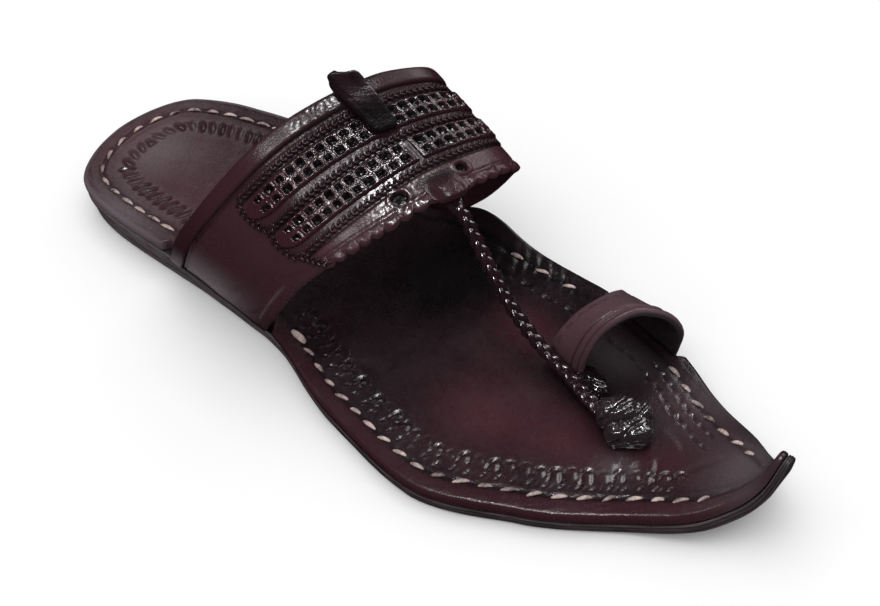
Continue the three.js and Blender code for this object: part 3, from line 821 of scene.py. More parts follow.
def finish(context, name):
    """The sandal's finish of that name, made the first time that a piece asks for it."""
    colours, worked = context.scene.sandal_colours, "worked_" + name
    if worked in bpy.data.materials:
        return bpy.data.materials[worked]
    if name == "stitch_thread":
        return thread(worked, colours)
    if name == "sole_leather":
        return sole_edge(worked, colours)
    return leather(worked, colours, *LEATHERS[name])


# Settings

def size(name, description, default):
    return bpy.props.FloatProperty(
        name=name, description=description, default=default, unit="LENGTH")


def dye(name, description, default):
    return bpy.props.FloatVectorProperty(
        name=name, description=description, default=default, subtype="COLOR")


class SandalSizes(bpy.types.PropertyGroup):
    """Sizes of the sandal's handwork."""

    stitch_pitch: size("Stitch pitch", "Spacing of the sole's stitches", 0.0074)
    stitch_length: size("Stitch length", "Length of a stitch on the insole", 0.0062)
    thread_width: size("Thread width", "Width of the flattened thread", 0.0016)
    mark_pitch: size("Mark pitch", "Spacing of the stamped marks", 0.0047)
    mark_depth: size("Mark depth", "Depth of the stamped marks", 0.0008)
    braid_pitch: size("Braid pitch", "Spacing of the laced loops on the band", 0.0021)
    plait_period: size("Plait period", "Length over which a strand of the plait comes back", 0.0126)
    plait_width: size("Plait width", "Width of the three-strand plait", 0.0052)
    hole_size: size("Punched hole", "Width of a square hole in the panels", 0.0027)


class SandalColours(bpy.types.PropertyGroup):
    """Colours of the sandal's dyes and thread."""

    dark_dye: dye("Dark dye", "Dark clouds of the leather", (0.0095, 0.0052, 0.0068))
    brown_dye: dye("Brown dye", "Main colour of the leather", (0.0225, 0.0090, 0.0128))
    red_dye: dye("Red glow", "Where the dye is thin", (0.0600, 0.0160, 0.0235))
    edge_black: dye("Edge black", "Burnished sole edge", (0.0240, 0.0150, 0.0175))
    # Grey of the painted sheen: reflections of the floor and highlights painted into the colour
    sheen_grey: dye("Sheen grey", "Dull bloom of worn and handled places", (0.200, 0.170, 0.188))
    thread: dye("Thread", "Stitching thread", (0.68, 0.52, 0.48))


def mm(length):
    return length * 1000


# Pieces

class SANDAL_OT_sole(bpy.types.Operator):
    """Outsole and heel lift: stacked leather with grooved, uneven edges"""

    bl_idname = "sandal.sole"
    bl_label = "Sole"

    def execute(self, context):
        even = np.linspace(0, 1, 12)[1:-1]
        run, y, z, height = sole_shell(
            run_stations(0, SOLE_RUN, 330), OUTSOLE_EDGE, even, even, outsole_bottom, outsole_top,
            lambda run, side: 0 * run, uneven=0.16)
        split = 0.68 + 0.1 * crumple(run, 0 * run, 5.0)
        lines = bell(height - split, 0.06) + bell(height + 0.33 - split, 0.06)
        # Painted sheen of the floor's reflection on the heel's side, and a painted highlight along
        # the upper rim
        rim_highlight = 0.6 * bell(height - 0.84, 0.08) * (0.5 + 0.5 * waver(run, 0 * run, 4.0))
        bloom = 0.12 + 0.4 * bell(run - 35, 45) + 0.25 * bell(run - 105, 35) + 0.55 * rim_highlight
        new_piece(context, "outsole_stack", bend(run, y, z), "sole_leather", ["outsole"],
                  soot=np.where(height > 0.98, 0.9, 0.0) + 0.7 * lines, bloom=bloom)
        run, y, z, height = sole_shell(
            np.concatenate([run_stations(0, LIFT_END, 150)[:-9], [LIFT_END]]), LIFT_EDGE,
            even, even,
            lambda run: 0 * run, lambda run: outsole_bottom(run) - GAP - 0.1,
            lambda run, side: LIFT_INSET + 0 * run, uneven=0.2)
        points = closed_ends(np.stack([run, y, z], -1))[1:]
        soot = np.concatenate([0.7 * bell(height - 0.52, 0.06), 0 * height[-1:]])
        # The lift's side has an even painted sheen
        new_piece(context, "heel_lift_stack", points, "sole_leather", ["heel_lift"],
                  soot=soot, bloom=0.42)
        return {"FINISHED"}


# Where the insole's dye is rubbed to a red glow: x, y, length, width, amount
GLOWS = [
    (229, -14, 15, 10, 0.7), (199, -23, 18, 10, 0.7), (188, 14, 15, 8, 0.75), (188, 2, 14, 8, 0.3),
    (207, -12, 24, 14, 0.3), (251, -4, 12, 9, 0.5), (246, 15, 12, 7, 0.4), (212, -40, 30, 6, 0.25),
    (60, -18, 26, 18, 0.4), (4, 0, 20, 38, 0.6), (40, 0, 36, 36, 0.5), (270, 4, 20, 16, 0.3),
]
# Where it shines with wax
WAXED = [(182, 35, 9, 6, 0.5), (242, -13, 8, 6, 1.0), (250, 14, 14, 8, 0.4), (24, -2, 17, 17, 0.3)]
# Painted sheen and reflections: on the heel, the toe, under the toe loop and beside the knot
PAINTED_SHEENS = [
    (22, -2, 14, 16, 0.17), (37, -34, 22, 7, 0.34), (251, 22, 18, 6, 0.16), (250, 10, 14, 9, 0.10),
    (284, 4, 16, 12, 0.37), (219, 19, 8, 8, 0.34), (242, -13, 6, 5, 0.24), (10, 26, 14, 12, 0.11),
]
# Where it is black: dark dye and painted shade under the band, the toe loop and the knot, and along
# the plait
DYE_AND_SHADE_BLOTS = [
    (147, 15, 18, 19, 0.88), (160, 22, 14, 16, 0.75), (178, 37, 22, 8, 0.4), (223, 12, 12, 10, 0.5),
    (98, 6, 24, 36, 0.45), (205, 2, 32, 4, 0.45), (236, -2, 11, 9, 0.5), (168, -24, 12, 10, 0.2),
]


def blots(x, y, table):
    """Sum of soft ovals, each a bell of both distances from its middle."""
    total = 0.0
    for middle_x, middle_y, length, width, amount in table:
        x_share, y_share = (x - middle_x) / length, (y - middle_y) / width
        total = total + amount * np.exp(-x_share ** 2 - y_share ** 2)
    return np.clip(total, 0, 1)


class SANDAL_OT_insole(bpy.types.Operator):
    """Insole: dished and creased leather with a stitch channel and a stamped border"""

    bl_idname = "sandal.insole"
    bl_label = "Insole"

    def execute(self, context):
        sizes = context.scene.sandal_sizes
        even = np.linspace(-1, 1, 106)
        inwards = 1 - np.abs(even)
        shares = (1 + np.sign(even) * (1 - inwards * (0.62 + 0.38 * inwards))) / 2
        run, y, z, height = sole_shell(
            run_stations(0, SOLE_RUN, 620), INSOLE_EDGE, shares[1:-1], np.linspace(0, 1, 8)[1:-1],
            insole_bottom, insole_top, notch, lambda run, y: insole_relief(run, y, sizes),
            uneven=0.1)
        inset, length = from_edge(run, y)
        side = np.where(y > centre_line(run), 1, -1)
        outer_side = y < centre_line(run)
        struck = -stamped_border(run, side, inset, length, 1.0, mm(sizes.mark_pitch))
        struck = struck * smooth(height, 0.5, 1.0)
        margin = (1 - smooth(inset, 4.5, 6.5)) * outer_side
        tone = np.maximum(blots(run, y, GLOWS) * smooth(inset, 1.0, 4.0),
                          (0.4 + 0.15 * bell(run - 250, 28)) * margin)
        # Painted shade in the stitch channel, dark dye and painted shade in the stamped marks, and
        # the blots are painted shade under the straps
        channel = bell(inset - stitch_inset(run), 0.9)
        soot = blots(run, y, DYE_AND_SHADE_BLOTS) + 0.5 * channel + 0.1 * (height < 0.6)
        soot = soot + (0.45 + 0.35 * (run < 90)) * np.clip(struck, 0, 1)
        rows = bell(inset - mark_inset(run) - 2.0, 4.0)
        front_rows = rows * smooth(run, 120, 150) * (1 - smooth(run, 255, 270)) * outer_side
        heel_rows = rows * (1 - smooth(run, 70, 90))
        wax = np.maximum(0.6 * front_rows + 0.5 * heel_rows, blots(run, y, WAXED))
        # Painted sheen of the floor's reflection on the heel's edge
        heel_edge_sheen = 0.55 * bell(run - 35, 40) * (1 - smooth(inset, 1.0, 2.5))
        heel_edge_sheen = heel_edge_sheen * smooth(height, 0.05, 0.2)
        new_piece(context, "insole_leather_bed", bend(run, y, z), "insole_leather", ["insole"],
                  tone=tone, soot=np.clip(soot, 0, 0.92),
                  bloom=np.maximum(blots(run, y, PAINTED_SHEENS), heel_edge_sheen), wax=wax)
        return {"FINISHED"}


# Stretches of the stitch line: side, from run, to run, spacing
STITCHED = [
    (-1, 0, 62, 1.05), (1, 0, 76, 1.05), (-1, 124, 284, 1.0), (1, 160, 201, 1.5),
    (1, 235, 286, 1.0),
]


class SANDAL_OT_stitches(bpy.types.Operator):
    """Running stitches that hold the insole to the outsole"""

    bl_idname = "sandal.stitches"
    bl_label = "Sole stitches"

    def execute(self, context):
        sizes = context.scene.sandal_sizes
        middles, ways = [], []
        for side, first, last, spacing in STITCHED:
            run = np.linspace(first, last, 600)
            line = rim(run, side, stitch_inset(run))
            step = np.linalg.norm(np.diff(line, axis=0), axis=1)
            count = np.concatenate([[0], np.cumsum(step / (mm(sizes.stitch_pitch) * spacing))])
            steps = np.arange(0.55, count[-1] - 0.3)
            middle, way = (np.stack([np.interp(steps, count, field[:, k]) for k in range(2)], 1)
                           for field in (line, travel(line)))
            middles.append(middle)
            ways.append(unit(way) * -side)
        middle, way = np.concatenate(middles), np.concatenate(ways)
        across = np.stack([-way[:, 1], way[:, 0]], 1)
        number, place = np.arange(len(middle)), middle[:, 0]
        along = np.linspace(-1, 1, 11)
        long_one = 0.7 * (number == len(middles[0]) + len(middles[1]))
        share = 0.88 + 0.3 * smooth(place, 15, 55) * (1 - smooth(place, 90, 125)) + long_one
        length = mm(sizes.stitch_length) / 2 * share * (1 + 0.13 * np.sin(2.7 * number))
        slant = (0.3 + 0.4 * smooth(place, 90, 125)) * (1 + 0.5 * np.sin(1.9 * number))
        flat = (middle[:, None] + way[:, None] * (length[:, None] * along)[..., None]
                + across[:, None] * (slant[:, None] * along)[..., None])
        rise = (0.3 - 0.85 * np.abs(along) ** 2.6)[None, :, None]
        full = (np.clip(1 - np.abs(along) ** 1.7, 0.03, 1) ** 0.7)[None, :, None]
        turn = turns(8)
        wide = mm(sizes.thread_width) / 2 * (1 + long_one)[:, None, None] * full * np.cos(turn)
        run, y = (flat[:, :, None, k] + across[:, None, None, k] * wide for k in range(2))
        ring = bend(run, y, insole_top(run) - 0.12 + (0.45 * full * np.sin(turn) + rise))
        new_piece(context, "sole_stitching", closed_ends(ring), "stitch_thread")
        return {"FINISHED"}


# Profile of a strap's edge from its outer face round to its inner: distance from the edge in mm,
# share of half the wall
STRAP_EDGE = np.array([
    (0.9, 0.97), (0.45, 0.85), (0.12, 0.5), (0.0, 0.0), (0.12, -0.5), (0.45, -0.85), (0.9, -0.97),
])


def strap_shell(surface, stations, rows, inner_rows, ends, front, relief):
    """A strap's wall as a ring of points at each station: its outer face from rear to front with
    relief(along, across) added, its front edge, back along its inner face and its rear edge."""
    a = np.linspace(0, 1, stations)[:, None]
    width = np.linalg.norm(surface(a, 0 * a + 1, 0 * a) - surface(a, 0 * a, 0 * a), axis=-1)
    near = STRAP_EDGE[:, 0][None] / width
    lift = np.broadcast_to(STRAP_EDGE[:, 1][None] * WALL / 2, near.shape)
    edge = front(a)
    room = near[:, :1] * 1.6
    outer = room + (edge - 2 * room) * np.linspace(0, 1, rows)[None]
    inner = edge - room - (edge - 2 * room) * np.linspace(0, 1, inner_rows)[None]
    across = np.concatenate([outer, edge - near, inner, near[:, ::-1]], 1)
    height = np.concatenate([WALL / 2 + 0 * outer, lift, -WALL / 2 + 0 * inner, lift[:, ::-1]], 1)
    start, stop = ends(across)
    along = start + (stop - start) * a
    height = height + relief(along, across) * smooth(height, 0.2, WALL / 2)
    return along, across, height, closed_ends(surface(along, across, height))


# Creases of the band: start along and across, end along and across, width, in hundredths; depth
BAND_CREASES = [
    (9, 30, 16, 42, 1.4, 0.35), (10, 60, 20, 74, 1.6, 0.4), (7, 80, 14, 92, 1.2, 0.35),
    (17, 10, 24, 20, 1.2, 0.25), (22, 84, 27, 97, 1.0, 0.4), (86, 20, 93, 34, 1.6, 0.4),
    (84, 60, 92, 72, 1.4, 0.4), (79, 86, 84, 96, 1.2, 0.4), (8, 12, 12, 80, 2.0, 0.25),
    (49, 86, 56, 92, 1.0, 0.25),
]


def hole_distance(along, across):
    """Distance in mm from the rim of the nearest round hole of the band, less than 0 inside it."""
    return np.min([np.hypot((along - middle) * BAND_LENGTH, (across - place) * BAND_WIDTH) - radius
                   for middle, place, radius in ROUND_HOLES], 0)


def groove_lines(along, across):
    """1 along the pressed grooves beside the laced lines, 0 off them and beyond the panels."""
    lines = 0.0
    for place, lean in GROOVES:
        lines = np.maximum(lines, bell(across - place - leaning(along, lean), 0.011))
    outer, inner = SIDES["lateral"][0], SIDES["medial"][0]
    return lines * smooth(along, outer, outer + 0.02) * (1 - smooth(along, inner, inner + 0.05))


# How deep the band is sunk under the panels, and the share of a panel that is its round end
RECESS = 1.0
ROUND_SHARE = 0.14


def panel_half(share):
    """How full a panel is across, as a share of its half width: a round end, then straight."""
    into = np.clip(share / ROUND_SHARE, 0, 1)
    return np.maximum(np.sqrt(1 - (1 - into) ** 2), 0.12)


def panel_cover(along, across):
    """1 where a panel lies on the band, drawn in a little from its edges, and 0 elsewhere."""
    cover = 0.0
    for low, high, lean in PANELS.values():
        for outer_end, inner_end in SIDES.values():
            share = (along - outer_end) / (inner_end - outer_end)
            off = np.abs(across - (low + high) / 2 - leaning(along, lean))
            over = off / ((high - low) / 2 * panel_half(share))
            within = smooth(share, 0.015, 0.05) * (1 - smooth(share, 0.965, 0.99))
            cover = np.maximum(cover, within * (1 - smooth(over, 0.8, 0.93)))
    return cover


def band_relief(along, across):
    """Unevenness of the band: creases, pressed grooves, a crimped border at its front edge, holes
    with a raised rim, beds for the panels and a crumpled crest."""
    height = troughs(along * 100, across * 100, BAND_CREASES) * 0.8
    height = height + 0.18 * waver(along * 100, across * 40, 7.0)
    height = height - 0.35 * bell(across - BINDING_LINE, 0.012) - 0.6 * groove_lines(along, across)
    pinked = (smooth(along, SCALLOP_FROM - 0.01, SCALLOP_FROM + 0.01)
              * (1 - smooth(along, SCALLOP_TO, SCALLOP_TO + 0.01)))
    tooth = np.pi * (along - SCALLOP_FROM) / (SCALLOP_TO - SCALLOP_FROM) * SCALLOP_COUNT
    crimp = (smooth(across, 0.93, 0.975) * (np.abs(np.sin(tooth)) - 0.45)
             + 0.35 * bell(across - 0.95, 0.02) * waver(along * 400, across * 60, 2.0))
    height = height + pinked * (0.65 * crimp - 0.35 * bell(across - 0.93, 0.01))
    far = hole_distance(along, across)
    fall = 1.55 + 0.6 * np.clip((across - ROUND_HOLES[0][1]) * 20, -1, 1)
    height = height - fall * (1 - smooth(far, -0.35, 0.15))
    height = height - RECESS * panel_cover(along, across)
    crumpled = crumple(along * BAND_LENGTH, across * BAND_WIDTH, 0.62)
    height = height + 0.17 * bell(along - CREST, CREST_REACH) * crumpled
    return height + 0.3 * bell(far - 0.8, 0.6)


# Lines across the toe loop: stitched dashes near its rear edge, two pressed lines near its front
LOOP_DASHES, LOOP_LINE, LOOP_FRONT_LINE = 0.15, 0.68, 0.86


def loop_dashes(along, across):
    """1 on the stitched dashes near the loop's rear edge."""
    return bell(across - LOOP_DASHES, 0.025) * smooth(np.sin(along * 95), -0.2, 0.5)


def loop_relief(along, across):
    """Dashes near the toe loop's rear edge, pressed lines and a ridge near its front, a lip and
    soft wrinkles."""
    lines = 0.3 * loop_dashes(along, across) - 0.3 * bell(across - LOOP_DASHES, 0.05)
    lines = lines - 0.4 * bell(across - LOOP_LINE, 0.022) + 0.35 * bell(across - 0.74, 0.025)
    lines = lines - 0.3 * bell(across - LOOP_FRONT_LINE, 0.03) + 0.3 * bell(across - 0.95, 0.03)
    lines = lines + 0.14 * waver(along * 60, across * 14, 3.0)
    return lines + 0.05 * waver(along * 60, across * 20, 0.6)


class SANDAL_OT_straps(bpy.types.Operator):
    """Instep band and toe loop: leather walls with pressed lines, creases and a pinked edge"""

    bl_idname = "sandal.straps"
    bl_label = "Straps"

    def execute(self, context):
        self.band(context)
        self.loop(context)
        return {"FINISHED"}

    def band(self, context):
        """Painted sheen of the floor low on its outer side, darker in its lines, painted shade in its
        holes, on its inside and at its outer foot, waxed at its crest.
        """
        floor = tuck(0.35)
        ends = lambda across: strap_ends(band, across, (0.05, floor), (0.95, floor))
        along, across, height, points = strap_shell(
            band, 460, 96, 10, ends, band_front, band_relief)
        tone = 0.3 + 0.3 * bell(along - 0.18, 0.12) + 0.2 * bell(along - 0.85, 0.08)
        tone = tone + 0.35 * (across > 0.8) * (along > 0.3)
        pits, inside = hole_distance(along, across) < 0, height < 0
        lines = groove_lines(along, across) + 0.4 * bell(across - BINDING_LINE, 0.008)
        # Painted shade in the round holes, on the inner face and along the outer foot; the grooves
        # and the binding line are darker
        soot = 1.0 * pits + 0.45 * inside + 0.85 * lines + 0.3 * bell(along - 0.01, 0.015)
        # A painted shade line where the outer foot meets the sole, with no sheen on it
        foot = bell(along - along[:1], 0.011) * (along < 0.5)
        # A painted highlight on the edge of the fold strip near the front of the outer side
        edge_highlight = bell(across - 0.905, 0.01) * smooth(along, 0.08, 0.1)
        edge_highlight = edge_highlight * (1 - smooth(along, 0.19, 0.23))
        # Painted sheen of the floor's reflection, low on the outer side
        floor_sheen = (1 - smooth(along, 0.07, 0.18)) * (1 - smooth(across, 0.35, 1.0))
        new_piece(context, "instep_band", points, "upper_leather", ["upper"],
                  tone=tone, soot=np.maximum(np.clip(soot, 0, 0.97), 0.95 * foot),
                  bloom=(0.03 + 0.85 * floor_sheen + 0.25 * edge_highlight) * (1 - foot),
                  wax=0.9 * bell(along - ROUND_HOLES[0][0], 0.045) * smooth(across, 0.45, 0.55))

    def loop(self, context):
        """Its outer foot stands on the insole, and its inner one is tucked in under it."""
        low = lambda x, y: outsole_top(x) + 2.5 + 0 * y
        along, across, height, points = strap_shell(
            toe_loop, 170, 60, 8,
            lambda across: strap_ends(toe_loop, across, (0.08, low), (0.93, tuck(0.35))),
            lambda along: 1 + 0 * along, loop_relief)
        outside, dashes = height > 0, loop_dashes(along, across)
        lines = (bell(across - LOOP_LINE, 0.02) + bell(across - LOOP_FRONT_LINE, 0.02)
                 + 0.6 * bell(across - LOOP_DASHES, 0.045))
        # The inner face is darkened with painted shade, the pressed lines are darker, and the
        # stitched dashes are lighter as painted glints
        soot = 0.45 * lines * outside - 0.6 * dashes + 0.3 * (height < 0)
        # An even painted sheen over it, stronger on its top where light falls, which is also lighter
        # in tone
        new_piece(context, "big_toe_loop", points, "upper_leather", ["upper"],
                  tone=(0.75 + 0.25 * bell(along - 0.55, 0.2) + 0.4 * dashes) * outside,
                  soot=np.clip(soot, 0, 0.95),
                  bloom=0.135 + 0.16 * bell(along - 0.6, 0.15) * outside)


class SANDAL_OT_binding(bpy.types.Operator):
    """Folded border along the rear edge of the band"""

    bl_idname = "sandal.binding"
    bl_label = "Rear binding"

    def execute(self, context):
        floor = tuck(0.6)
        a, turn = np.linspace(0, 1, 360)[:, None], np.linspace(0, 1, 24)[None]
        across = both_faces(BINDING_WIDTH * turn + 0 * a)
        dome = np.clip(1 - np.abs(2 * turn - 1) ** 5, 0.0, 1) ** 0.5
        crimp = 0.17 * crumple(a * BAND_LENGTH, turn * 6, 0.62) * bell(a - 0.45, CREST_REACH) * dome
        flat = 0.5 + 0.5 * smooth(np.minimum(a, 1 - a), 0.03, 0.2)
        high = OVERLAY_LOW - 0.2 + (OVERLAY + 0.2) * dome * flat + crimp
        height = both_faces(high, WALL / 2 - 0.15)
        start, stop = strap_ends(band, across, (0.05, floor), (0.95, floor))
        along = start + (stop - start) * a
        front_line = across - BINDING_WIDTH
        # Painted sheen of the floor's reflection low on the outer side; the seam line is darker
        # towards the outer foot
        floor_sheen = (1 - smooth(along, 0.07, 0.15)) * (1 - bell(front_line, 0.02))
        soot = (0.35 + 0.6 * (1 - smooth(along, 0.08, 0.17))) * bell(front_line, 0.01)
        new_piece(context, "folded_border", closed_ends(band(along, across, height)),
                  "binding_leather", ["rear_binding"],
                  tone=0.2 + 0.4 * bell(along - 0.26, 0.13) + 0.35 * bell(along - 0.72, 0.12),
                  soot=np.clip(soot, 0, 0.95), bloom=0.8 * floor_sheen,
                  wax=0.7 * bell(along - CREST, 0.05))
        return {"FINISHED"}


class SANDAL_OT_panels(bpy.types.Operator):
    """Four punched panels with two rows of square holes each"""

    bl_idname = "sandal.panels"
    bl_label = "Punched panels"

    def execute(self, context):
        for row_name, across_span in PANELS.items():
            for side_name, along_span in SIDES.items():
                self.panel(context, f"panel_{row_name}_{side_name}", *across_span, *along_span)
        return {"FINISHED"}

    def panel(self, context, node, low, high, lean, outer_end, inner_end):
        """A raised sheet with pits: the height drops where the rounded square distance from the
        middle of a hole is less than half a hole, and swells into a rim just outside it."""
        hole = mm(context.scene.sandal_sizes.hole_size) / 2
        middle, half = (low + high) / 2, (high - low) / 2
        share, over = np.linspace(0, 1, 210)[:, None] ** 1.15, np.linspace(-1, 1, 56)[None]
        along = outer_end + (inner_end - outer_end) * share + 0 * over
        line = middle + leaning(along, lean)
        across = line + half * over * panel_half(share)
        ends = band(np.array([outer_end, inner_end]), np.full(2, middle), np.zeros(2))
        sides = band(np.full(2, (outer_end + inner_end) / 2), np.array([low, high]), np.zeros(2))
        length = np.linalg.norm(ends[1] - ends[0]) * 1.06
        width = np.linalg.norm(sides[1] - sides[0])
        there, aside = share * length, across * width / (high - low)
        place = HOLE_FIRST + HOLE_STEP * np.arange(HOLE_COLUMNS)
        column = np.abs(share[..., None] - place).argmin(-1)
        nearest = np.abs(share[..., None] - place).min(-1) * length
        ragged = 0.13 * crumple(there, aside, 0.5)
        pit, lip, deep = 0.0, 0.0, 0.0
        for row in range(HOLE_ROWS):
            off = np.abs(across - line - (row - 0.5) * half * HOLE_ROW_SPREAD)
            beside = off * width / (high - low)
            close = hole * (0.1 + 0.12 * np.sin(2.3 * column + 4.1 * row + 9 * outer_end))
            close = close * (1.6 - 0.6 * smooth(along, 0.27, 0.38))
            far = (nearest ** 4 + beside ** 4) ** 0.25 + ragged + close
            pit = np.maximum(pit, 1 - smooth(far, hole - 0.22, hole + 0.16))
            lip = np.maximum(lip, bell(far - hole - 0.42, 0.3))
            deep = np.maximum(deep, np.clip(1 - far / hole, 0, 1))
        edge = (1 - np.abs(over)) * half * panel_half(share) * width / (high - low)
        edge = np.minimum(edge, there)
        round_off = np.sqrt(np.clip(1 - (1 - np.clip(edge / 0.7, 0, 1)) ** 2, 0, 1))
        crinkle = 0.1 * crumple(there, aside, 0.4)
        height = WALL / 2 + (OVERLAY + GAP - 0.25) * round_off
        height = height + (0.2 + crinkle) * lip - (OVERLAY + 0.05) * pit
        height = height + crinkle * round_off - 0.8 * deep
        under = WALL / 2 - RECESS + 0.05
        points = closed_ends(band(both_faces(along), both_faces(across),
                                  both_faces(np.maximum(height, under + 0.05), under)))
        # Painted shade in the pits, faint between the lips; the hidden underside is half dark
        soot = np.clip(0.97 * pit + 0.1 * (1 - lip) * (1 - pit), 0, 0.97)
        tone = (0.25 + 0.35 * smooth(np.abs(along - 0.5), 0.06, 0.16)) * (1 - pit)
        wax = 0.9 * bell(along - 0.475, 0.06) + 0.35 * bell(along - 0.62, 0.08)
        new_piece(context, node.replace("panel", "punched"), points, "panel_leather", [node],
                  tone=both_faces(tone, 0.0),
                  soot=both_faces(soot * (0.75 + 0.25 * smooth(along, 0.27, 0.4)), 0.5),
                  wax=both_faces(wax, 0.0))


def laced_paths():
    """Lines of lacing on the band as (along, across) places: one behind each panel and one in
    front, a bow round the end of each panel, and one from the outer end of the last line to the
    front edge."""
    outer, inner = SIDES["lateral"][0], SIDES["medial"][0]
    along = np.linspace(outer + 0.01, inner - 0.01, 60)
    paths = [np.stack([along, place + leaning(along, lean)], 1) for place, lean in LACED_LINES]
    turn = np.linspace(0, np.pi, 24)
    for end, way in ((outer, -1), (inner, 1)):
        for (low, low_lean), (high, high_lean) in zip(LACED_LINES[:-1], LACED_LINES[1:]):
            low, high = low + leaning(end, low_lean), high + leaning(end, high_lean)
            paths.append(np.stack([end + way * 0.014 * np.sin(turn) - way * 0.01,
                                   (low + high) / 2 - (high - low) / 2 * np.cos(turn)], 1))
    first = LACED_LINES[-1][0] + leaning(outer, LACED_LINES[-1][1])
    paths.append(np.array([
        (outer + 0.012, first + 0.02), (outer + 0.02, 0.92), (outer + 0.03, 0.985)]))
    return paths


class SANDAL_OT_lacing(bpy.types.Operator):
    """Laced chain lines on the band, as two slanting rows of small loops"""

    bl_idname = "sandal.lacing"
    bl_label = "Lacing"

    def execute(self, context):
        pitch = mm(context.scene.sandal_sizes.braid_pitch)
        middles, fronts, ups = [], [], []
        for path in laced_paths():
            dense = np.concatenate([np.linspace(a, b, 40) for a, b in zip(path[:-1], path[1:])])
            line, over = (band(*dense.T, np.full(len(dense), OVERLAY_LOW + rise))
                          for rise in (-0.1, 1.0))
            spaced, _ = by_length(np.concatenate([line, unit(over - line)], 1), pitch)
            middles.append(spaced[:, :3])
            fronts.append(travel(spaced[:, :3]))
            ups.append(unit(spaced[:, 3:]))
        middle, front, up = (np.concatenate(parts) for parts in (middles, fronts, ups))
        beside = np.cross(up, front)
        leaf, turn = np.linspace(-1, 1, 6), turns(6)
        full = np.sqrt(np.clip(1 - np.abs(leaf) ** 2.6 * 0.9, 0, 1))
        wide, tall = ((half * full[:, None] * wave)[None, ..., None]
                      for half, wave in ((0.5, np.cos(turn)), (0.42, np.sin(turn))))
        rings = []
        for side in (-1, 1):
            way = unit(front * 0.80 + beside * (0.62 * side))
            base = middle + beside * (0.55 * side) + front * (0.25 * pitch * side)
            row = (base[:, None] + way[:, None] * (leaf * 1.15)[None, :, None]
                   + up[:, None] * (0.12 * full)[None, :, None])
            rings.append(row[:, :, None] + np.cross(up, way)[:, None, None] * wide
                         + up[:, None, None] * tall)
        new_piece(context, "band_lacing", closed_ends(np.concatenate(rings)), "upper_leather",
                  tone=0.2, soot=0.0)
        return {"FINISHED"}


class SANDAL_OT_centre(bpy.types.Operator):
    """Rolled strip with its knob, and the rounded tab over the root of the plait"""

    bl_idname = "sandal.centre"
    bl_label = "Centre strip"

    def execute(self, context):
        self.roll(context)
        self.tab(context)
        return {"FINISHED"}

    def roll(self, context):
        """A flat roll carried across the band, with folds along it, its rear end bent up."""
        a = np.linspace(0, 1, 90)
        across = ROLL_FROM + (ROLL_TO - ROLL_FROM) * a
        ends = np.sqrt(np.clip(1 - np.abs(2 * a - 1) ** 14, 0.03, 1))[:, None]
        flat = ROLL_FLAT * (1 - 0.5 * smooth(a, 0.4, 1.0))
        thick = (ROLL_REAR + (ROLL_FRONT - ROLL_REAR) * a) * flat
        lift = OVERLAY_HIGH + GAP + thick + ROLL_KNOB * (1 - np.minimum(a * 2.2, 1)) ** 2
        spot = np.full_like(a, CENTRE)
        middle = band(spot, across, lift)
        side = unit(band(spot + 0.01, across, lift) - band(spot - 0.01, across, lift))
        up = band(spot, across, lift + 1) - middle
        place, turn = a[:, None], turns(64)
        square = (np.abs(np.cos(turn)) ** 5 + np.abs(np.sin(turn)) ** 5) ** (-1 / 5)
        there, round_it = place * 22, turn[None] * 5
        fold = 0.95 + 0.03 * waver(there, round_it, 3.0) + 0.02 * waver(there, round_it, 0.7)
        fold = fold + 0.09 * bell(turn - 0.75, 0.16) - 0.07 * bell(turn - 1.15, 0.16)
        fold = fold - 0.06 * bell(turn - 2.5 + 0.7 * place, 0.14)
        fold = fold - 0.12 * bell(turn - 3.3, 0.16)
        fold = fold + 0.03 * bell(turn - 2.9, 0.2) * np.sin(place * 60)
        wide = ends * (ROLL_REAR * 1.1 - 0.6 * place) * fold * (square * np.cos(turn))[None]
        down = np.maximum(lift - WALL / 2 - 0.2, thick)
        tall = np.where(np.sin(turn) > 0, thick[:, None] * fold, down[:, None])
        tall = ends * tall * (square * np.sin(turn))
        slant = travel(middle)[:, None] * (1.6 * np.cos(turn) * (1 - place) ** 3)[..., None]
        points = (middle[:, None] + side[:, None] * wide[..., None]
                  + up[:, None] * tall[..., None] + slant)
        # Painted shade in the hollows of the folds and towards the front end, over a darker base
        soot = np.clip(0.3 + (0.95 - fold) * 4 + 0.6 * smooth(place, 0.35, 0.8), 0, 0.9)
        new_piece(context, "rolled_strip", closed_ends(points), "upper_leather", ["centre_roll"],
                  look="binding_leather", tone=0.2, soot=soot, wax=0.8 * bell(turn - 0.75, 0.25))

    def tab(self, context):
        """A domed tongue with a round front, over the root of the plait."""
        a, b = np.linspace(-1, 1, 60)[:, None], np.linspace(0, 1, 48)[None]
        bow = np.sqrt(np.clip(1 - np.maximum((np.abs(a) - 0.15) / 0.85, 0) ** 2, 0.02, 1))
        across = TAB_FROM + (1 + (TAB_TO - 1) * bow - TAB_FROM) * b
        along = TAB_CENTRE + TAB_HALF * a + 0 * b
        lip = np.sqrt(np.clip(1 - (1 - np.clip((1 - b) * 9, 0, 1)) ** 2, 0, 1))
        dome = lip * smooth(b, 0.0, 0.6) * (0.2 + 0.8 * (1 - smooth(np.abs(a), 0.3, 1.0)))
        rough = 0.16 * waver(a * 9, b * 12, 3.0) + 0.1 * crumple(a * 9, b * 12, 0.9)
        height = WALL / 2 - 0.05 + (TAB_THICKNESS + GAP) * dome + rough * dome
        points = band(both_faces(along), both_faces(across), both_faces(height, WALL / 2 - 0.3))
        new_piece(context, "rounded_tab", closed_ends(points), "binding_leather", ["front_tab"],
                  tone=both_faces(0.55 * bell(b - 0.7, 0.4) + 0 * a, 0.0),
                  soot=both_faces(0 * height, 0.5))


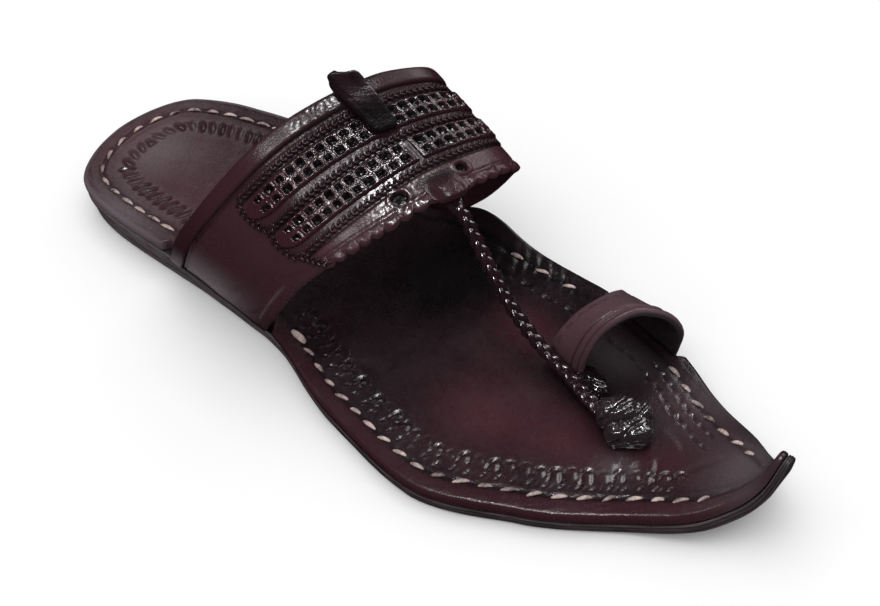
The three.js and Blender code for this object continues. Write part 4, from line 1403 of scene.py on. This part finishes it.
class SANDAL_OT_plait(bpy.types.Operator):
    """Three-strand plait from the tab to the toe, and the knot of its ends"""

    bl_idname = "sandal.plait"
    bl_label = "Plait and knot"

    def execute(self, context):
        self.plait(context)
        self.knot(context)
        return {"FINISHED"}

    def plait(self, context):
        """Strands that sway from side to side, a third of a period apart, and dip under each other
        twice a period. They lie side by side at the root."""
        sizes = context.scene.sandal_sizes
        route, place = by_length(catmull(PLAIT_ROUTE.astype(float))(np.linspace(0, 1, 600)), 0.42)
        ahead = travel(route)
        side = unit(np.array([0.0, 1.0, 0.0]) - ahead * ahead[:, 1:2])
        up = np.cross(ahead, side)
        up = up * np.sign(up[:, 2:3])
        root = 1 - smooth(place, 7.0, 15.0)
        half = mm(sizes.plait_width) / 2
        reach = half * (0.52 + 0.2 * root)
        corners, rings = 12, []
        for strand in range(3):
            phase = 2 * np.pi * (place / mm(sizes.plait_period) + strand / 3)
            sway = np.sin(phase) * (1 - root) + (strand - 1) * root
            dip = 0.62 * (1 - root) * np.sin(2 * phase)
            path = route + side * (reach * sway)[:, None] + up * dip[:, None]
            way = travel(path)
            wide = unit(np.cross(up, way))
            rings.append(tube(path, wide, unit(np.cross(way, wide)),
                              half * (0.5 + 0.12 * root), 0.82 + 0.1 * root, corners))
        # The strands are darker at their sides, painted shade where they press against each other
        new_piece(context, "plaited_strap", np.stack(rings), "upper_leather", ["upper"],
                  look="strap_leather", tone=0.12, soot=0.55 * np.abs(np.cos(turns(corners))) ** 4)

    def knot(self, context):
        """Three folded lumps, a broad one behind, one beside it and a rolled end in front, and a
        fourth one at the foot of the toe loop."""
        points = np.stack([
            lump((233.6, -1.0, 14.2), (0.75, 0.65), (6.4, 4.9, 4.6), 2.6, 3, 0.4),
            lump((238.4, 3.0, 12.6), (0.6, 0.8), (4.6, 4.0, 3.9), 2.5, 4, 2.0),
            lump((239.8, -3.8, 12.4), (0.81, 0.59), (7.2, 4.2, 4.0), 3.4, 2, 1.1),
        ])
        # An even painted sheen lightens the knot
        new_piece(context, "toe_knot_lumps", points, "upper_leather", ["toe_knot"],
                  look="strap_leather", soot=0.3, bloom=0.1, wax=1.0)
        points = lump((219.6, 6.0, 11.0), (0.95, -0.3), (6.6, 3.4, 3.0), 2.6, 3, 0.0)
        new_piece(context, "folded_loop_foot", points, "upper_leather", ["upper"],
                  look="strap_leather", soot=0.5, wax=0.8)


# Lights: name, place in mm from the middle of the sandal, width in mm, power, only mirrored or not
LIGHTS = [
    ("top_fill", (0, 0, 1600), 2000, 17.5, False),
    ("overhead_softbox", (37, -145, 1050), 150, 8.0, True),
    ("back_softbox", (-928, 406, 707), 280, 0.46, True),
    ("inner_softbox", (148, 754, 739), 520, 4.8, True),
]


class SANDAL_OT_stage(bpy.types.Operator):
    """Pale floor, soft studio light and the camera"""

    bl_idname = "sandal.stage"
    bl_label = "Stage"

    def execute(self, context):
        scene = context.scene
        self.floor(scene)
        for name, place, width, power, mirrored in LIGHTS:
            lamp = bpy.data.lights.new(name, "AREA")
            lamp.shape, lamp.size, lamp.energy = "SQUARE", width / 1000, power
            holder = bpy.data.objects.new(name, lamp)
            holder.location = Vector(place) / 1000
            holder.visible_glossy, holder.visible_diffuse = mirrored, not mirrored
            view = Vector((0, 0, 0.03)) - holder.location
            holder.rotation_euler = view.to_track_quat("-Z", "Y").to_euler()
            scene.collection.objects.link(holder)
        world = bpy.data.worlds.new("studio_white")
        world.use_nodes = True
        set_sockets(world.node_tree, world.node_tree.nodes["Background"],
                    {"Color": (1, 1, 1, 1), "Strength": 0.64})
        world.cycles_visibility.glossy = False
        scene.world = world
        scene.view_settings.view_transform = "Standard"
        self.camera(scene)
        return {"FINISHED"}

    def floor(self, scene):
        """A broad sheet of pale paper just under the sandal, which its leather doesn't mirror."""
        mesh = bpy.data.meshes.new("pale_floor")
        reach = 4.0
        corners = [(-reach, -reach, 0), (reach, -reach, 0), (reach, reach, 0), (-reach, reach, 0)]
        mesh.from_pydata(corners, [], [(0, 1, 2, 3)])
        floor = bpy.data.objects.new("pale_floor", mesh)
        floor.location.z = -0.0002
        floor.visible_glossy = False
        scene.collection.objects.link(floor)
        paper, tree, shader, place = new_material("pale_paper")
        cloud = noise(tree, place, 3.0, 2.0)
        white = mixed(tree, cloud, (0.93, 0.93, 0.93, 1), (0.96, 0.96, 0.96, 1))
        set_sockets(tree, shader, {"Base Color": white, "Roughness": 0.9})
        mesh.materials.append(paper)

    def camera(self, scene):
        """Looks at the target from its turn and rise, rolled about its own axis."""
        turn, rise, roll = np.radians([CAMERA_TURN, CAMERA_RISE, CAMERA_ROLL])
        back = Vector((np.cos(turn) * np.cos(rise), np.sin(turn) * np.cos(rise), np.sin(rise)))
        right = Vector((-np.sin(turn), np.cos(turn), 0))
        up = back.cross(right)
        rolled_right = right * np.cos(roll) + up * np.sin(roll)
        rolled_up = up * np.cos(roll) - right * np.sin(roll)
        data = bpy.data.cameras.new("camera")
        data.sensor_width = SENSOR
        data.lens = CAMERA_FOCUS * SENSOR / IMAGE_WIDTH
        data.clip_start = 0.01
        eye = bpy.data.objects.new("camera", data)
        place = (CAMERA_TARGET + back * CAMERA_DISTANCE + Vector(FRAME_SHIFT)) / 1000
        axes = Matrix((rolled_right, rolled_up, back)).transposed().to_4x4()
        eye.matrix_world = Matrix.Translation(place) @ axes
        scene.collection.objects.link(eye)
        scene.camera = eye


class SANDAL_PT_sidebar(bpy.types.Panel):
    """Sandal pieces and settings"""

    bl_idname = "SANDAL_PT_sidebar"
    bl_label = "Kolhapuri Sandal"
    bl_space_type = "VIEW_3D"
    bl_region_type = "UI"
    bl_category = "Sandal"

    def draw(self, context):
        for operator in PIECES:
            self.layout.operator(operator.bl_idname)
        for group in (context.scene.sandal_sizes, context.scene.sandal_colours):
            box = self.layout.box()
            for key in group.bl_rna.properties.keys():
                if key not in ("rna_type", "name"):
                    box.prop(group, key)


PIECES = (
    SANDAL_OT_stage, SANDAL_OT_sole, SANDAL_OT_insole, SANDAL_OT_stitches, SANDAL_OT_straps,
    SANDAL_OT_binding, SANDAL_OT_panels, SANDAL_OT_lacing, SANDAL_OT_centre, SANDAL_OT_plait,
)
CLASSES = (SandalSizes, SandalColours, *PIECES, SANDAL_PT_sidebar)


def register():
    for item in CLASSES:
        bpy.utils.register_class(item)
    bpy.types.Scene.sandal_sizes = bpy.props.PointerProperty(type=SandalSizes)
    bpy.types.Scene.sandal_colours = bpy.props.PointerProperty(type=SandalColours)


def unregister():
    del bpy.types.Scene.sandal_colours
    del bpy.types.Scene.sandal_sizes
    for item in reversed(CLASSES):
        bpy.utils.unregister_class(item)


def main():
    register()
    bpy.ops.sandal.stage()
    bpy.ops.sandal.sole()
    bpy.ops.sandal.insole()
    bpy.ops.sandal.stitches()
    bpy.ops.sandal.straps()
    bpy.ops.sandal.binding()
    bpy.ops.sandal.panels()
    bpy.ops.sandal.lacing()
    bpy.ops.sandal.centre()
    bpy.ops.sandal.plait()


if __name__ == "__main__":
    main()
